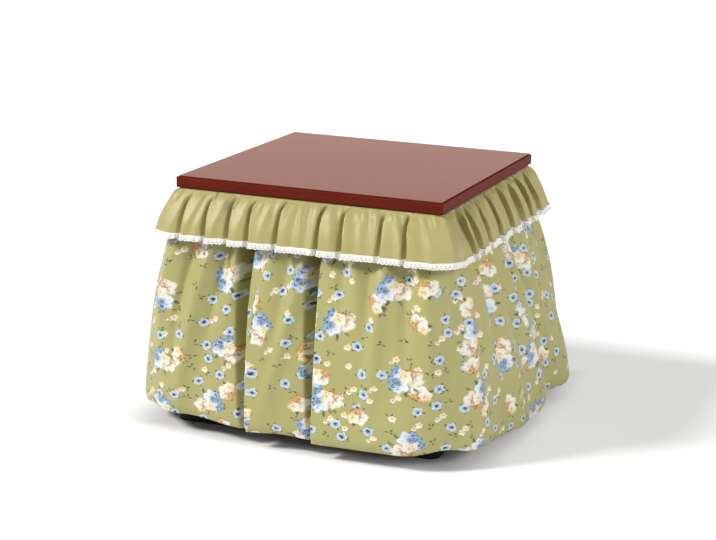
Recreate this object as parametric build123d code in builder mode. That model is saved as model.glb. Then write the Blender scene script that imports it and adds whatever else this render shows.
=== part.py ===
from build123d import *
from math import cos, exp, hypot, pi, radians, sin, tan, tanh
import os

# A heated table. A square lacquered top rests on a gathered floor-length cover, which hangs
# over a steel tube frame. A quartz heater hangs under the top and heats the space inside.
# Millimetres. The origin is on the floor under the centre, +Z is up, and -Y is the front.
os.makedirs("parts", exist_ok=True)

# ---------------------------------------------------------------- driving dimensions
table_width = 800.0            # square top, edge to edge
table_height = 725.0           # floor to the top surface
rest_gap = 0.3                 # air above and below the loose cover sheet

# Tabletop
top_thickness = 33.0
moulding_width = 32.0
face_panel_thickness = 4.0
back_panel_thickness = 3.0
batten_width = 30.0
cross_battens = 5
step_inset = 5.5               # the flat top stops this far inside the edge
step_drop = 3.0                # height of the step down to the outer ledge
ledge_radius = 2.0
moulding_chamfer = 2.5
corner_round = 3.0             # vertical corners of the top
pad_radius = 15.0
pad_thickness = 1.5
pad_inset = 100.0              # pad centre from the edge of the top

# Cover
sheet_thickness = 2.0
sheet_inset = 6.0              # edge of the cover's top sheet, inside the table's edge
sheet_corner_radius = 25.0
stitch_gap = 0.2               # sheet edge to the flounce that is sewn round it
skirt_thickness = 4.0
flounce_thickness = 3.0
lace_thickness = 1.5
heading_height = 24.0          # tape inside the top of the skirt
heading_thickness = 2.0
heading_gap = 0.3              # tape to the inside of the skirt
heading_corner_ease = 7.0      # the tape takes each corner this much rounder than the skirt
hem_height = 40.0              # floor to the lower edge of the skirt
skirt_flare = 142.0            # how far the hem stands outside the top of the skirt
hem_corner_radius = 210.0
skirt_swell = 1.52             # above 1, the flare comes early and the cloth looks full
flounce_length = 115.0
flounce_corner_radius = 75.0   # at its lower edge
flounce_ease = 25.0            # skirt without its folds to flounce, at the flounce's lower edge
flounce_fold_depth = 6.0
flounce_swell = 1.35
lace_width = 22.0
lace_flare = 5.0
flounce_flutes = 9             # gathers on each side
flounce_steps = 54             # points along each side of the flounce
skirt_steps = 64
skirt_shares = (0, 0.04, 0.14, 0.28, 0.46, 0.65, 0.82, 0.95, 1)    # levels, down the fall
flounce_shares = (0, 0.2, 0.45, 0.7, 1)

# Folds of the skirt: place along the side at the top and at the hem, as a share of the side's
# length from its left end, and how far the fold goes out (in, where negative).
# At a crease the cloth after the line stands out over the cloth before it.
skirt_creases = {
    "front": [(0.345, 0.393, 29), (0.593, 0.599, 28)],
    "right": [(0.402, 0.594, -25), (0.789, 0.807, -17)],
    "back": [(0.195, 0.224, 26), (0.479, 0.464, 23), (0.748, 0.735, 26)],
    "left": [(0.185, 0.203, 21), (0.472, 0.490, 26), (0.737, 0.720, 21)],
}
# A ridge is a soft roll under the flounce that dies away towards the hem.
skirt_ridges = {
    "front": [(0.191, 0.135, 19), (0.274, 0.280, 14), (0.553, 0.418, 18), (0.818, 0.740, 18),
              (0.939, 0.945, 14)],
    "right": [(0.087, 0.089, 15), (0.300, 0.363, 17), (0.484, 0.674, 14), (0.634, 0.735, 15),
              (0.901, 0.900, 14)],
    "back": [(0.081, 0.089, 16), (0.321, 0.331, 16), (0.596, 0.587, 16), (0.889, 0.890, 16)],
    "left": [(0.069, 0.067, 16), (0.326, 0.331, 16), (0.602, 0.597, 16), (0.871, 0.868, 16)],
}
# A swell is a broad bulge or hollow that grows towards the hem.
skirt_swells = {
    "front": [(0.193, 0.193, -28), (0.490, 0.490, -14), (0.920, 0.930, -10)],
    "right": [(0.480, 0.480, 6), (0.756, 0.756, 3)],
    "back": [(0.780, 0.780, 1.6)],
    "left": [(0.560, 0.560, 4.6), (0.830, 0.830, -16)],
}
crease_width = 26.0            # the step out at a crease
recess_reach = 50.0            # how far a crease is felt on its recessed side
lobe_reach = 130.0
ridge_width = 26.0
swell_width = 100.0
corner_calm = 70.0             # folds fade out this near to the corner diagonals
crease_growth = (0.08, 0.6)    # shares of the fall where a fold starts and is at its fullest
ridge_growth = (0.04, 0.28)
ridge_fade = (0.28, 1.05)
swell_growth = (0.3, 1.0)

# Frame
leg_inset = 25.0               # leg face behind the edge of the top
leg_size = 36.0
tube_wall = 1.5
apron_height = 40.0
apron_width = 20.0
apron_reveal = 3.0             # apron face behind the leg face
foot_size = 60.0
foot_height = 30.0
foot_overhang = 28.0           # foot block outside the leg
foot_corner_radius = 28.0
base_rail_height = 25.0
base_rail_width = 30.0
base_rail_reveal = 1.0
base_rail_lift = 2.0           # rail above the floor
spigot_length = 32.0
spigot_gap = 0.2               # plug to tube wall, all round

# Screws and bolts
screw_head_radius = 4.0
screw_head_height = 2.4
screw_radius = 1.75
screw_length = 12.0
bolt_head_radius = 4.5
bolt_head_height = 3.0
bolt_radius = 2.5
hole_gap = 0.15                # screw or bolt to its hole, all round

# Heater
heater_size = 320.0
bar_size = 20.0                # square tube that carries the heater
bar_wall = 1.2
bar_plate = 4.0                # closed end of each bar
bar_spacing = heater_size - bar_size    # the bars run along the edges of the heater
housing_screw_inset = 40.0     # heater screw from the front or back of the housing
heater_height = 47.0
heater_wall = 1.2
heater_corner_radius = 12.0
boss_radius = 5.0
boss_inset = 12.0
reflector_flange = 20.0        # rim of the reflector, on each side
reflector_well = heater_size - 2 * reflector_flange
reflector_depth = 29.0
reflector_wall = 0.8
grille_thickness = 1.5
grille_rows = 14
grille_columns = 3
grille_bridge = 9.0            # bar between two columns of slots
grille_margin = 8.0            # slots to the side of the reflector's well
grille_end_margin = 18.5       # slots to the front and back of the well
grille_slot_width = 9.0
grille_slot_length = (reflector_well - 2 * grille_margin
                      - (grille_columns - 1) * grille_bridge) / grille_columns
grille_slot_pitch = (reflector_well - 2 * grille_end_margin - grille_slot_width) / (grille_rows - 1)
tube_radius = 6.0
tube_glass = 1.0
tube_spacing = 120.0
tube_gap = 0.15                # quartz tube to the bore of its end cap
cap_size = 18.0
cap_length = 14.0
cap_bore_depth = 8.0
filament_width = 5.0
filament_thickness = 0.8
cutout_radius = 8.0
cutout_height = 8.0
cutout_round = 1.0

# Control box
box_width = 90.0
box_depth = 52.0
box_drop = 68.0                # from the bar's underside down
box_wall = 2.0
lid_thickness = 2.5
lead_radius = 3.5
lead_gap = 0.1
lead_drop = 10.0               # lead centre below the bar
lead_tail = 3.6                # lead inside the faces of the box and the heater
clip_length = 10.0
clip_width = 14.0
clip_spacing = 64.0
knob_radius = 15.0
knob_depth = 14.0
knob_flutes = 18
knob_flute_radius = 1.2
pointer_width = 2.0
pointer_height = 0.8
pointer_length = 10.5
knob_offset = -20.0            # knob axis from the middle of the box
knob_gap = 1.0                 # knob to thermostat neck
control_height = 24.0          # knob and switch axis above the box's bottom
shaft_radius = 3.0
shaft_fit = 0.05               # running clearance, radius
shaft_length = 24.0
neck_radius = 4.5
neck_length = 1.5              # in front of the box
thermostat_size = 24.0
thermostat_depth = 14.0
switch_offset = 22.0           # switch axis from the middle of the box
rocker_radius = 8.5
rocker_width = 10.0
rocker_tilt = 10.0             # degrees each side of the middle
rocker_front = 5.0             # ridge of the rocker in front of its pivot
rocker_back = 1.5
rocker_clearance = 0.3
rocker_pin_radius = 1.2
rocker_pin_length = 0.9
bezel_width = 15.5
bezel_height = 22.0
bezel_thickness = 2.0
bezel_lip = 1.25
switch_body_depth = 20.0
lamp_radius = 3.0
lamp_length = 9.0
lamp_offset = 4.5
lamp_height = 38.0
inlet_width = 28.0
inlet_depth = 18.0
inlet_height = 20.0
inlet_wall = 3.0
inlet_flange = 3.0
inlet_pin_radius = 1.25
inlet_pin_spacing = 11.0
inlet_pin_length = 11.0
panel_gap = 0.1                # fitted piece to the hole in its panel

# ---------------------------------------------------------------- derived levels
top_underside = table_height - top_thickness
sheet_top = top_underside - pad_thickness - rest_gap
sheet_underside = sheet_top - sheet_thickness
frame_height = sheet_underside - rest_gap
half_top = table_width / 2
half_sheet = half_top - sheet_inset
half_legs = half_top - leg_inset
half_foot = half_legs + foot_overhang
leg_centre = half_legs - leg_size / 2
apron_centre = half_legs - apron_reveal - apron_width / 2
apron_inner = apron_centre - apron_width / 2
block_inner = half_legs - leg_size
foot_inner = half_foot - foot_size
rail_centre = half_foot - base_rail_reveal - base_rail_width / 2
rail_middle = base_rail_lift + base_rail_height / 2
apron_middle = frame_height - apron_height / 2
apron_underside = frame_height - apron_height
bar_underside = frame_height - bar_size
housing_bottom = bar_underside - heater_height
flange_bottom = housing_bottom - reflector_wall
grille_bottom = flange_bottom - grille_thickness
side_names = ["front", "right", "back", "left"]
corner_names = ["front_left", "front_right", "back_right", "back_left"]


def keep(piece, name):
    """Label one finished piece and write it."""
    piece.label = name
    export_step(piece, f"parts/{name}.step")


def turned(piece, quarter):
    """The same piece on another side of the square table."""
    return piece.rotate(Axis.Z, 90 * quarter)


def seat(x, y, z, direction, quarter=0):
    """Plane under a screw head. Its normal points out of the hole."""
    angle = radians(90 * quarter)
    centre = (x * cos(angle) - y * sin(angle), x * sin(angle) + y * cos(angle), z)
    dx, dy, dz = direction
    normal = (dx * cos(angle) - dy * sin(angle), dx * sin(angle) + dy * cos(angle), dz)
    return Plane(origin=centre, z_dir=normal)


def drill(plane, radius, depth):
    """Cut a round hole into the current part, from the plane inwards."""
    with BuildSketch(plane) as hole:
        Circle(radius)
    extrude(hole.sketch, amount=-depth, mode=Mode.SUBTRACT)


def fastener(plane, head_radius, head_height, shank_radius, length):
    """Add one fastener to the current part, with its head on the plane."""
    with BuildSketch(plane) as head:
        Circle(head_radius)
    extrude(head.sketch, amount=head_height)
    with BuildSketch(plane) as shank:
        Circle(shank_radius)
    extrude(shank.sketch, amount=-length)


# ---------------------------------------------------------------- tabletop
inner_half = half_top - moulding_width
core_bottom = top_underside + back_panel_thickness
core_height = top_thickness - back_panel_thickness - face_panel_thickness

with BuildPart() as top_face_panel:
    with BuildSketch(Plane.XY.offset(table_height - face_panel_thickness)):
        Rectangle(2 * inner_half, 2 * inner_half)
    extrude(amount=face_panel_thickness)
keep(top_face_panel.part, "top_face_panel")

with BuildPart() as top_back_panel:
    with BuildSketch(Plane.XY.offset(top_underside)):
        Rectangle(2 * inner_half, 2 * inner_half)
    extrude(amount=back_panel_thickness)
keep(top_back_panel.part, "top_back_panel")

# Battens inside the hollow top: two along the edges and three across, between them.
batten_length = 2 * inner_half
cross_length = batten_length - 2 * batten_width
cross_pitch = (batten_length - batten_width) / (cross_battens - 1)
with BuildPart() as top_core_battens:
    with BuildSketch(Plane.XY.offset(core_bottom)):
        with GridLocations(0, batten_length - batten_width, 1, 2):
            Rectangle(batten_length, batten_width)
    extrude(amount=core_height)
    with BuildSketch(Plane.XY.offset(core_bottom)):
        with GridLocations(cross_pitch, 0, cross_battens, 1):
            Rectangle(batten_width, cross_length - 2 * stitch_gap)
    extrude(amount=core_height)
keep(top_core_battens.part, "top_core_battens")


def edge_moulding():
    """Front edge strip: a stepped profile with mitred ends and rounded outer corners."""
    outer = -half_top
    ledge = table_height - step_drop
    with BuildPart() as moulding:
        with BuildSketch(Plane.YZ):
            with BuildLine():
                Polyline(
                    (outer, ledge - ledge_radius),
                    (outer, top_underside + moulding_chamfer),
                    (outer + moulding_chamfer, top_underside),
                    (outer + moulding_width, top_underside),
                    (outer + moulding_width, table_height),
                    (outer + step_inset, table_height),
                    (outer + step_inset, ledge),
                    (outer + ledge_radius, ledge),
                )
                RadiusArc((outer + ledge_radius, ledge), (outer, ledge - ledge_radius), -ledge_radius)
            make_face()
        extrude(amount=half_top, both=True)
        split(bisect_by=Plane(origin=(0, 0, 0), z_dir=(-1, -1, 0)), keep=Keep.TOP)
        split(bisect_by=Plane(origin=(0, 0, 0), z_dir=(1, -1, 0)), keep=Keep.TOP)
        with BuildSketch(Plane.XY.offset(top_underside)):
            RectangleRounded(table_width, table_width, corner_round)
        extrude(amount=top_thickness, mode=Mode.INTERSECT)
    return moulding.part


for quarter, side in enumerate(side_names):
    keep(turned(edge_moulding(), quarter), f"edge_moulding_{side}")

with BuildPart() as anti_slip_pads:
    with BuildSketch(Plane.XY.offset(top_underside - pad_thickness)):
        with GridLocations(table_width - 2 * pad_inset, table_width - 2 * pad_inset, 2, 2):
            Circle(pad_radius)
    extrude(amount=pad_thickness)
keep(anti_slip_pads.part, "anti_slip_pads")


# ---------------------------------------------------------------- cover
def ease(value, start, end):
    """0 up to the start, 1 from the end on, with a smooth rise between."""
    rise = min(max((value - start) / (end - start), 0), 1)
    return rise * rise * (3 - 2 * rise)


def side_length(half, radius):
    """Length of one side of a rounded square, from one corner diagonal to the next."""
    return 2 * (half - radius) + radius * pi / 2


def side_point(place, half, radius, push):
    """A point on the front side's outline, from one corner diagonal (0) to the next (1).

    The outline is a rounded square of the given half width, and the folds push it out.
    """
    straight = half - radius
    eighth = radius * pi / 4
    length = side_length(half, radius)
    run = place * length
    if run < eighth:
        angle = radians(-135) + run / radius
        centre = -straight
    elif run > length - eighth:
        angle = radians(-45) - (length - run) / radius
        centre = straight
    else:
        angle = radians(-90)
        centre = run - eighth - straight
    reach = radius + push
    return centre + reach * cos(angle), -straight + reach * sin(angle)


def side_line(level, folds, steps, inset):
    """Points along one side of the cloth at one level, moved in square to the cloth by the inset."""
    fall, _, half, radius = level
    nudge = 0.001
    points = []
    for step in range(steps + 1):
        before, here, after = [
            side_point(place, half, radius, folds(place, fall, side_length(half, radius)))
            for place in (step / steps - nudge, step / steps, step / steps + nudge)
        ]
        along, across = after[0] - before[0], after[1] - before[1]
        scale = inset / hypot(along, across)
        points.append((here[0] - scale * across, here[1] + scale * along))
    return points


def fall_level(fall, top, bottom, swell):
    """The outline of hanging cloth at one share of its fall, from 0 at the top to 1 at the edge.

    The top and bottom are each (height, half width, corner radius).
    """
    flare = 1 - (1 - fall) ** swell
    height = top[0] + fall * (bottom[0] - top[0])
    half = top[1] + flare * (bottom[1] - top[1])
    radius = top[2] + flare * (bottom[2] - top[2])
    return fall, height, half, radius


def cloth_side(levels, folds, steps, thickness, inset=0.0):
    """One side of hanging cloth, lofted from its levels. It meets its neighbours on the diagonals."""
    even = [step / steps for step in range(steps + 1)]
    with BuildPart() as cloth:
        for level in levels:
            outer = side_line(level, folds, steps, inset)
            inner = side_line(level, folds, steps, inset + thickness)[::-1]
            with BuildSketch(Plane.XY.offset(level[1])):
                with BuildLine():
                    add(Edge.make_spline(outer, parameters=even))
                    Line(outer[-1], inner[0])
                    add(Edge.make_spline(inner, parameters=even))
                    Line(inner[-1], outer[0])
                make_face()
        loft()
    return cloth.part


def skirt_folds(side):
    """How far the folds of one side push the skirt out."""
    def push(place, fall, length):
        total = 0
        for top, hem, depth in skirt_creases[side]:
            run = (place - top - (hem - top) * fall) * length
            reach = lobe_reach if run * depth > 0 else recess_reach
            step_out = tanh(run / crease_width) * exp(-abs(run) / reach)
            total += depth * ease(fall, *crease_growth) * step_out
        for top, hem, height in skirt_ridges[side]:
            run = (place - top - (hem - top) * fall) * length
            growth = ease(fall, *ridge_growth) * (1 - ease(fall, *ridge_fade))
            total += height * growth * exp(-(run / ridge_width) ** 2)
        for top, hem, height in skirt_swells[side]:
            run = (place - top - (hem - top) * fall) * length
            total += height * ease(fall, *swell_growth) * exp(-(run / swell_width) ** 2)
        return total * ease(min(place, 1 - place) * length, 0, corner_calm)
    return push


def flounce_folds(place, fall, _):
    """Even gathers, which deepen from nothing at the seam."""
    return flounce_fold_depth * min(fall, 1) * cos(2 * pi * flounce_flutes * place)


with BuildPart() as cover_top_sheet:
    with BuildSketch(Plane.XY.offset(sheet_underside)):
        RectangleRounded(2 * half_sheet, 2 * half_sheet, sheet_corner_radius)
    extrude(amount=sheet_thickness)
keep(cover_top_sheet.part, "cover_top_sheet")

# The skirt hangs from the underside of the sheet, just inside the sheet's edge.
half_skirt = half_sheet - sheet_thickness
skirt_fall = sheet_underside - hem_height
skirt_top = (sheet_underside, half_skirt, sheet_corner_radius)
skirt_hem = (hem_height, half_skirt + skirt_flare, hem_corner_radius)
skirt_levels = [fall_level(fall, skirt_top, skirt_hem, skirt_swell) for fall in skirt_shares]
for quarter, side in enumerate(side_names):
    skirt_side = cloth_side(skirt_levels, skirt_folds(side), skirt_steps, skirt_thickness)
    keep(turned(skirt_side, quarter), f"skirt_{side}")

# Tape sewn inside the top of the skirt.
half_heading = half_skirt - skirt_thickness - heading_gap
heading_radius = sheet_corner_radius - skirt_thickness - heading_gap + heading_corner_ease
with BuildPart() as heading_band:
    with BuildSketch(Plane.XY.offset(sheet_underside - heading_height)):
        RectangleRounded(2 * half_heading, 2 * half_heading, heading_radius)
        offset(amount=-heading_thickness, mode=Mode.SUBTRACT)
    extrude(amount=heading_height)
keep(heading_band.part, "heading_band")

# The flounce is sewn round the edge of the sheet and flares out from there.
half_flounce = half_sheet + stitch_gap + flounce_thickness
flounce_radius = sheet_corner_radius + stitch_gap + flounce_thickness
flounce_bottom = sheet_top - flounce_length
fall_there = (sheet_underside - flounce_bottom) / skirt_fall
_, _, skirt_there, _ = fall_level(fall_there, skirt_top, skirt_hem, skirt_swell)
half_flounce_edge = skirt_there + flounce_ease + flounce_thickness + flounce_fold_depth
flounce_top = (sheet_top, half_flounce, flounce_radius)
flounce_edge = (flounce_bottom, half_flounce_edge, flounce_corner_radius)
flounce_levels = [fall_level(fall, flounce_top, flounce_edge, flounce_swell) for fall in flounce_shares]
flounce_side = cloth_side(flounce_levels, flounce_folds, flounce_steps, flounce_thickness)
for quarter, side in enumerate(side_names):
    keep(turned(flounce_side, quarter), f"flounce_{side}")

# The lace hangs from the lower edge of the flounce and runs all round.
lace_inset = (flounce_thickness - lace_thickness) / 2
lace_levels = [
    flounce_levels[-1],
    (1, flounce_bottom - lace_width, half_flounce_edge + lace_flare, flounce_corner_radius + lace_flare),
]
lace_side = cloth_side(lace_levels, flounce_folds, flounce_steps, lace_thickness, lace_inset)
with BuildPart() as lace_trim:
    with PolarLocations(0, 4):
        add(lace_side)
keep(lace_trim.part, "lace_trim")

# ---------------------------------------------------------------- frame
leg_bottom = foot_height
leg_top = apron_underside
screw_setback = spigot_length / 2
leg_spigot = leg_size - 2 * tube_wall - 2 * spigot_gap
hole_radius = screw_radius + hole_gap
spigot_pilot_depth = screw_length

# Screw seats of one side: two on its leg, two on its apron and two on its base rail.
leg_seats = [
    ((-block_inner, -leg_centre, leg_top - screw_setback), (1, 0, 0)),
    ((-block_inner, -leg_centre, leg_bottom + screw_setback), (1, 0, 0)),
]
apron_seats = [
    ((sign * (block_inner - screw_setback), -apron_inner, apron_middle), (0, 1, 0))
    for sign in (-1, 1)
]
rail_inner = rail_centre - base_rail_width / 2
rail_seats = [
    ((sign * (foot_inner - screw_setback), -rail_inner, rail_middle), (0, 1, 0))
    for sign in (-1, 1)
]
all_seats = leg_seats + apron_seats + rail_seats


def side_seats(seats, quarter=0):
    """The screw seats of one side, as planes."""
    return [seat(*point, direction, quarter) for point, direction in seats]


def square_leg():
    """Front left leg: square tube between its foot and its top corner block."""
    with BuildPart() as leg:
        with BuildSketch(Plane.XY.offset(leg_bottom)):
            with Locations((-leg_centre, -leg_centre)):
                Rectangle(leg_size, leg_size)
                Rectangle(leg_size - 2 * tube_wall, leg_size - 2 * tube_wall, mode=Mode.SUBTRACT)
        extrude(amount=leg_top - leg_bottom)
        for plane in side_seats(leg_seats):
            drill(plane, hole_radius, 2 * tube_wall)
    return leg.part


def rail(centre, middle, width, height, half_length, seats):
    """Front rail: rectangular tube across the table between two corner pieces."""
    with BuildPart() as tube:
        with BuildSketch(Plane.YZ):
            with Locations((-centre, middle)):
                Rectangle(width, height)
                Rectangle(width - 2 * tube_wall, height - 2 * tube_wall, mode=Mode.SUBTRACT)
        extrude(amount=half_length, both=True)
        for plane in side_seats(seats):
            drill(plane, hole_radius, 2 * tube_wall)
    return tube.part


def rail_spigot(centre, middle, width, height, start):
    """Add the plug that a corner piece pushes into the end of the front rail."""
    with BuildSketch(Plane.YZ.offset(-start)) as plug:
        with Locations((-centre, middle)):
            Rectangle(width - 2 * (tube_wall + spigot_gap), height - 2 * (tube_wall + spigot_gap))
    extrude(plug.sketch, amount=spigot_length)


def side_rail_spigot(centre, middle, width, height, start):
    """Add the plug for the left rail, which meets the same corner piece."""
    with BuildSketch(Plane.XZ.offset(start)) as plug:
        with Locations((-centre, middle)):
            Rectangle(width - 2 * (tube_wall + spigot_gap), height - 2 * (tube_wall + spigot_gap))
    extrude(plug.sketch, amount=-spigot_length)


def corner_foot():
    """Front left foot: a block on the floor with plugs for the leg and two base rails."""
    foot_centre = half_foot - foot_size / 2
    with BuildPart() as foot:
        with BuildSketch():
            with Locations((-foot_centre, -foot_centre)):
                square = Rectangle(foot_size, foot_size)
            outer_corner = square.vertices().sort_by(Axis((0, 0, 0), (1, 1, 0)))[0]
            fillet(outer_corner, radius=foot_corner_radius)
        extrude(amount=foot_height)
        with BuildSketch(Plane.XY.offset(foot_height)):
            with Locations((-leg_centre, -leg_centre)):
                Rectangle(leg_spigot, leg_spigot)
        extrude(amount=spigot_length)
        rail_spigot(rail_centre, rail_middle, base_rail_width, base_rail_height, foot_inner)
        side_rail_spigot(rail_centre, rail_middle, base_rail_width, base_rail_height, foot_inner)
        left_seats = [side_seats(rail_seats, 3)[1]]
        for plane in [side_seats(leg_seats)[1], side_seats(rail_seats)[0]] + left_seats:
            drill(plane, hole_radius, tube_wall + spigot_pilot_depth)
    return foot.part


def top_corner_block():
    """Front left block: joins the leg and two aprons."""
    with BuildPart() as block:
        with BuildSketch(Plane.XY.offset(apron_underside)):
            with Locations((-leg_centre, -leg_centre)):
                Rectangle(leg_size, leg_size)
        extrude(amount=apron_height)
        with BuildSketch(Plane.XY.offset(apron_underside)):
            with Locations((-leg_centre, -leg_centre)):
                Rectangle(leg_spigot, leg_spigot)
        extrude(amount=-spigot_length)
        rail_spigot(apron_centre, apron_middle, apron_width, apron_height, block_inner)
        side_rail_spigot(apron_centre, apron_middle, apron_width, apron_height, block_inner)
        left_seats = [side_seats(apron_seats, 3)[1]]
        for plane in [side_seats(leg_seats)[0], side_seats(apron_seats)[0]] + left_seats:
            drill(plane, hole_radius, tube_wall + spigot_pilot_depth)
    return block.part


half_bar = apron_inner
bolt_length = apron_width + bar_plate
bolt_seats = [
    seat(sign_x * bar_spacing / 2, sign_y * (apron_centre + apron_width / 2),
         frame_height - bar_size / 2, (0, sign_y, 0))
    for sign_x in (-1, 1)
    for sign_y in (-1, 1)
]


def apron(quarter):
    """Apron of one side. The front and back ones also carry the heater bars."""
    plain = rail(apron_centre, apron_middle, apron_width, apron_height, block_inner, apron_seats)
    with BuildPart() as drilled:
        add(turned(plain, quarter))
        if quarter in (0, 2):
            for plane in bolt_seats:
                drill(plane, bolt_radius + hole_gap, apron_width)
    return drilled.part


for quarter, corner in enumerate(corner_names):
    keep(turned(square_leg(), quarter), f"leg_{corner}")
    keep(turned(corner_foot(), quarter), f"foot_{corner}")

for quarter, side in enumerate(side_names):
    keep(apron(quarter), f"apron_{side}")
    base_rail = rail(rail_centre, rail_middle, base_rail_width, base_rail_height, foot_inner, rail_seats)
    keep(turned(base_rail, quarter), f"base_rail_{side}")

with BuildPart() as top_corner_blocks:
    with PolarLocations(0, 4):
        add(top_corner_block())
keep(top_corner_blocks.part, "top_corner_blocks")

with BuildPart() as frame_screws:
    for quarter in range(4):
        for plane in side_seats(all_seats, quarter):
            fastener(plane, screw_head_radius, screw_head_height, screw_radius, screw_length)
keep(frame_screws.part, "frame_screws")

# Bars between the front and back aprons. They carry the heater.
half_heater = heater_size / 2
housing_screw_reach = half_heater - housing_screw_inset
housing_screw_points = [
    (sign_x * bar_spacing / 2, sign_y * housing_screw_reach) for sign_x in (-1, 1) for sign_y in (-1, 1)
]
for sign, side in ((-1, "left"), (1, "right")):
    with BuildPart() as heater_bar:
        with BuildSketch(Plane.XZ.offset(-half_bar)):
            with Locations((sign * bar_spacing / 2, frame_height - bar_size / 2)):
                Rectangle(bar_size, bar_size)
        extrude(amount=2 * half_bar)
        with BuildSketch(Plane.XZ.offset(-half_bar + bar_plate)):
            with Locations((sign * bar_spacing / 2, frame_height - bar_size / 2)):
                Rectangle(bar_size - 2 * bar_wall, bar_size - 2 * bar_wall)
        extrude(amount=2 * (half_bar - bar_plate), mode=Mode.SUBTRACT)
        for plane in bolt_seats:
            drill(plane, bolt_radius + hole_gap, apron_width + bar_plate)
        for x, y in housing_screw_points:
            drill(Plane.XY.offset(bar_underside + bar_wall).move(Location((x, y, 0))),
                  hole_radius, 2 * bar_wall)
    keep(heater_bar.part, f"heater_bar_{side}")

with BuildPart() as bar_bolts:
    for plane in bolt_seats:
        fastener(plane, bolt_head_radius, bolt_head_height, bolt_radius, bolt_length)
keep(bar_bolts.part, "bar_bolts")

# ---------------------------------------------------------------- heater
boss_reach = half_heater - boss_inset
boss_points = [(sign_x * boss_reach, sign_y * boss_reach) for sign_x in (-1, 1) for sign_y in (-1, 1)]
lead_x = bar_spacing / 2
lead_z = bar_underside - lead_drop
box_bottom = bar_underside - box_drop
box_front = -apron_inner
box_back = box_front + box_depth

with BuildPart() as heater_housing:
    with BuildSketch(Plane.XY.offset(housing_bottom)):
        RectangleRounded(heater_size, heater_size, heater_corner_radius)
    extrude(amount=heater_height)
    with BuildSketch(Plane.XY.offset(housing_bottom)):
        inner_size = heater_size - 2 * heater_wall
        RectangleRounded(inner_size, inner_size, heater_corner_radius - heater_wall)
    extrude(amount=heater_height - heater_wall, mode=Mode.SUBTRACT)
    with BuildSketch(Plane.XY.offset(housing_bottom)):
        with Locations(*boss_points):
            Circle(boss_radius)
    extrude(amount=heater_height - heater_wall)
    for x, y in boss_points:
        drill(Plane((x, y, housing_bottom), z_dir=(0, 0, -1)), hole_radius, screw_length)
    for x, y in housing_screw_points:
        drill(Plane((x, y, bar_underside - heater_wall), z_dir=(0, 0, -1)), hole_radius, heater_wall)
    with BuildSketch(Plane.XZ.offset(half_heater)):
        with Locations((lead_x, lead_z)):
            Circle(lead_radius + lead_gap)
    extrude(amount=-lead_tail, mode=Mode.SUBTRACT)
keep(heater_housing.part, "heater_housing")

flange_size = heater_size
with BuildPart() as reflector:
    with BuildSketch(Plane.XY.offset(flange_bottom)):
        RectangleRounded(flange_size, flange_size, heater_corner_radius)
    extrude(amount=reflector_wall)
    with BuildSketch(Plane.XY.offset(flange_bottom)):
        Rectangle(reflector_well + 2 * reflector_wall, reflector_well + 2 * reflector_wall)
    extrude(amount=reflector_depth)
    with BuildSketch(Plane.XY.offset(flange_bottom)):
        Rectangle(reflector_well, reflector_well)
    extrude(amount=reflector_depth - reflector_wall, mode=Mode.SUBTRACT)
    for x, y in boss_points:
        drill(Plane((x, y, flange_bottom), z_dir=(0, 0, -1)), hole_radius, reflector_wall)
keep(reflector.part, "reflector")

with BuildPart() as guard_grille:
    with BuildSketch(Plane.XY.offset(grille_bottom)):
        RectangleRounded(heater_size, heater_size, heater_corner_radius)
        slot_column = grille_slot_length + grille_bridge
        with GridLocations(slot_column, grille_slot_pitch, grille_columns, grille_rows):
            SlotOverall(grille_slot_length, grille_slot_width, mode=Mode.SUBTRACT)
        with Locations(*boss_points):
            Circle(hole_radius, mode=Mode.SUBTRACT)
    extrude(amount=grille_thickness)
keep(guard_grille.part, "guard_grille")

with BuildPart() as heater_screws:
    for x, y in boss_points:
        fastener(Plane((x, y, grille_bottom), z_dir=(0, 0, -1)),
                 screw_head_radius, screw_head_height, screw_radius, screw_length)
    for x, y in housing_screw_points:
        fastener(Plane((x, y, bar_underside - heater_wall), z_dir=(0, 0, -1)),
                 screw_head_radius, screw_head_height, screw_radius, screw_length)
keep(heater_screws.part, "heater_screws")

# Two quartz tubes across the reflector, each held by a ceramic cap at both ends.
tube_middle = flange_bottom + reflector_depth / 2
cap_face = reflector_well / 2 - cap_length
half_tube = cap_face + cap_bore_depth
with BuildPart() as quartz_tubes:
    with BuildSketch(Plane.YZ):
        with Locations((-tube_spacing / 2, tube_middle), (tube_spacing / 2, tube_middle)):
            Circle(tube_radius)
            Circle(tube_radius - tube_glass, mode=Mode.SUBTRACT)
    extrude(amount=half_tube, both=True)
keep(quartz_tubes.part, "quartz_tubes")

with BuildPart() as carbon_filaments:
    with BuildSketch(Plane.YZ):
        with Locations((-tube_spacing / 2, tube_middle), (tube_spacing / 2, tube_middle)):
            Rectangle(filament_width, filament_thickness)
    extrude(amount=half_tube, both=True)
keep(carbon_filaments.part, "carbon_filaments")

with BuildPart() as tube_end_caps:
    with BuildSketch(Plane.YZ):
        with Locations((-tube_spacing / 2, tube_middle), (tube_spacing / 2, tube_middle)):
            Rectangle(cap_size, cap_size)
    extrude(amount=reflector_well / 2, both=True)
    with BuildSketch(Plane.YZ):
        with Locations((-tube_spacing / 2, tube_middle), (tube_spacing / 2, tube_middle)):
            Rectangle(2 * cap_size, 2 * cap_size)
    extrude(amount=cap_face, both=True, mode=Mode.SUBTRACT)
    with BuildSketch(Plane.YZ):
        with Locations((-tube_spacing / 2, tube_middle), (tube_spacing / 2, tube_middle)):
            Circle(tube_radius + tube_gap)
    extrude(amount=half_tube, both=True, mode=Mode.SUBTRACT)
keep(tube_end_caps.part, "tube_end_caps")

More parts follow.
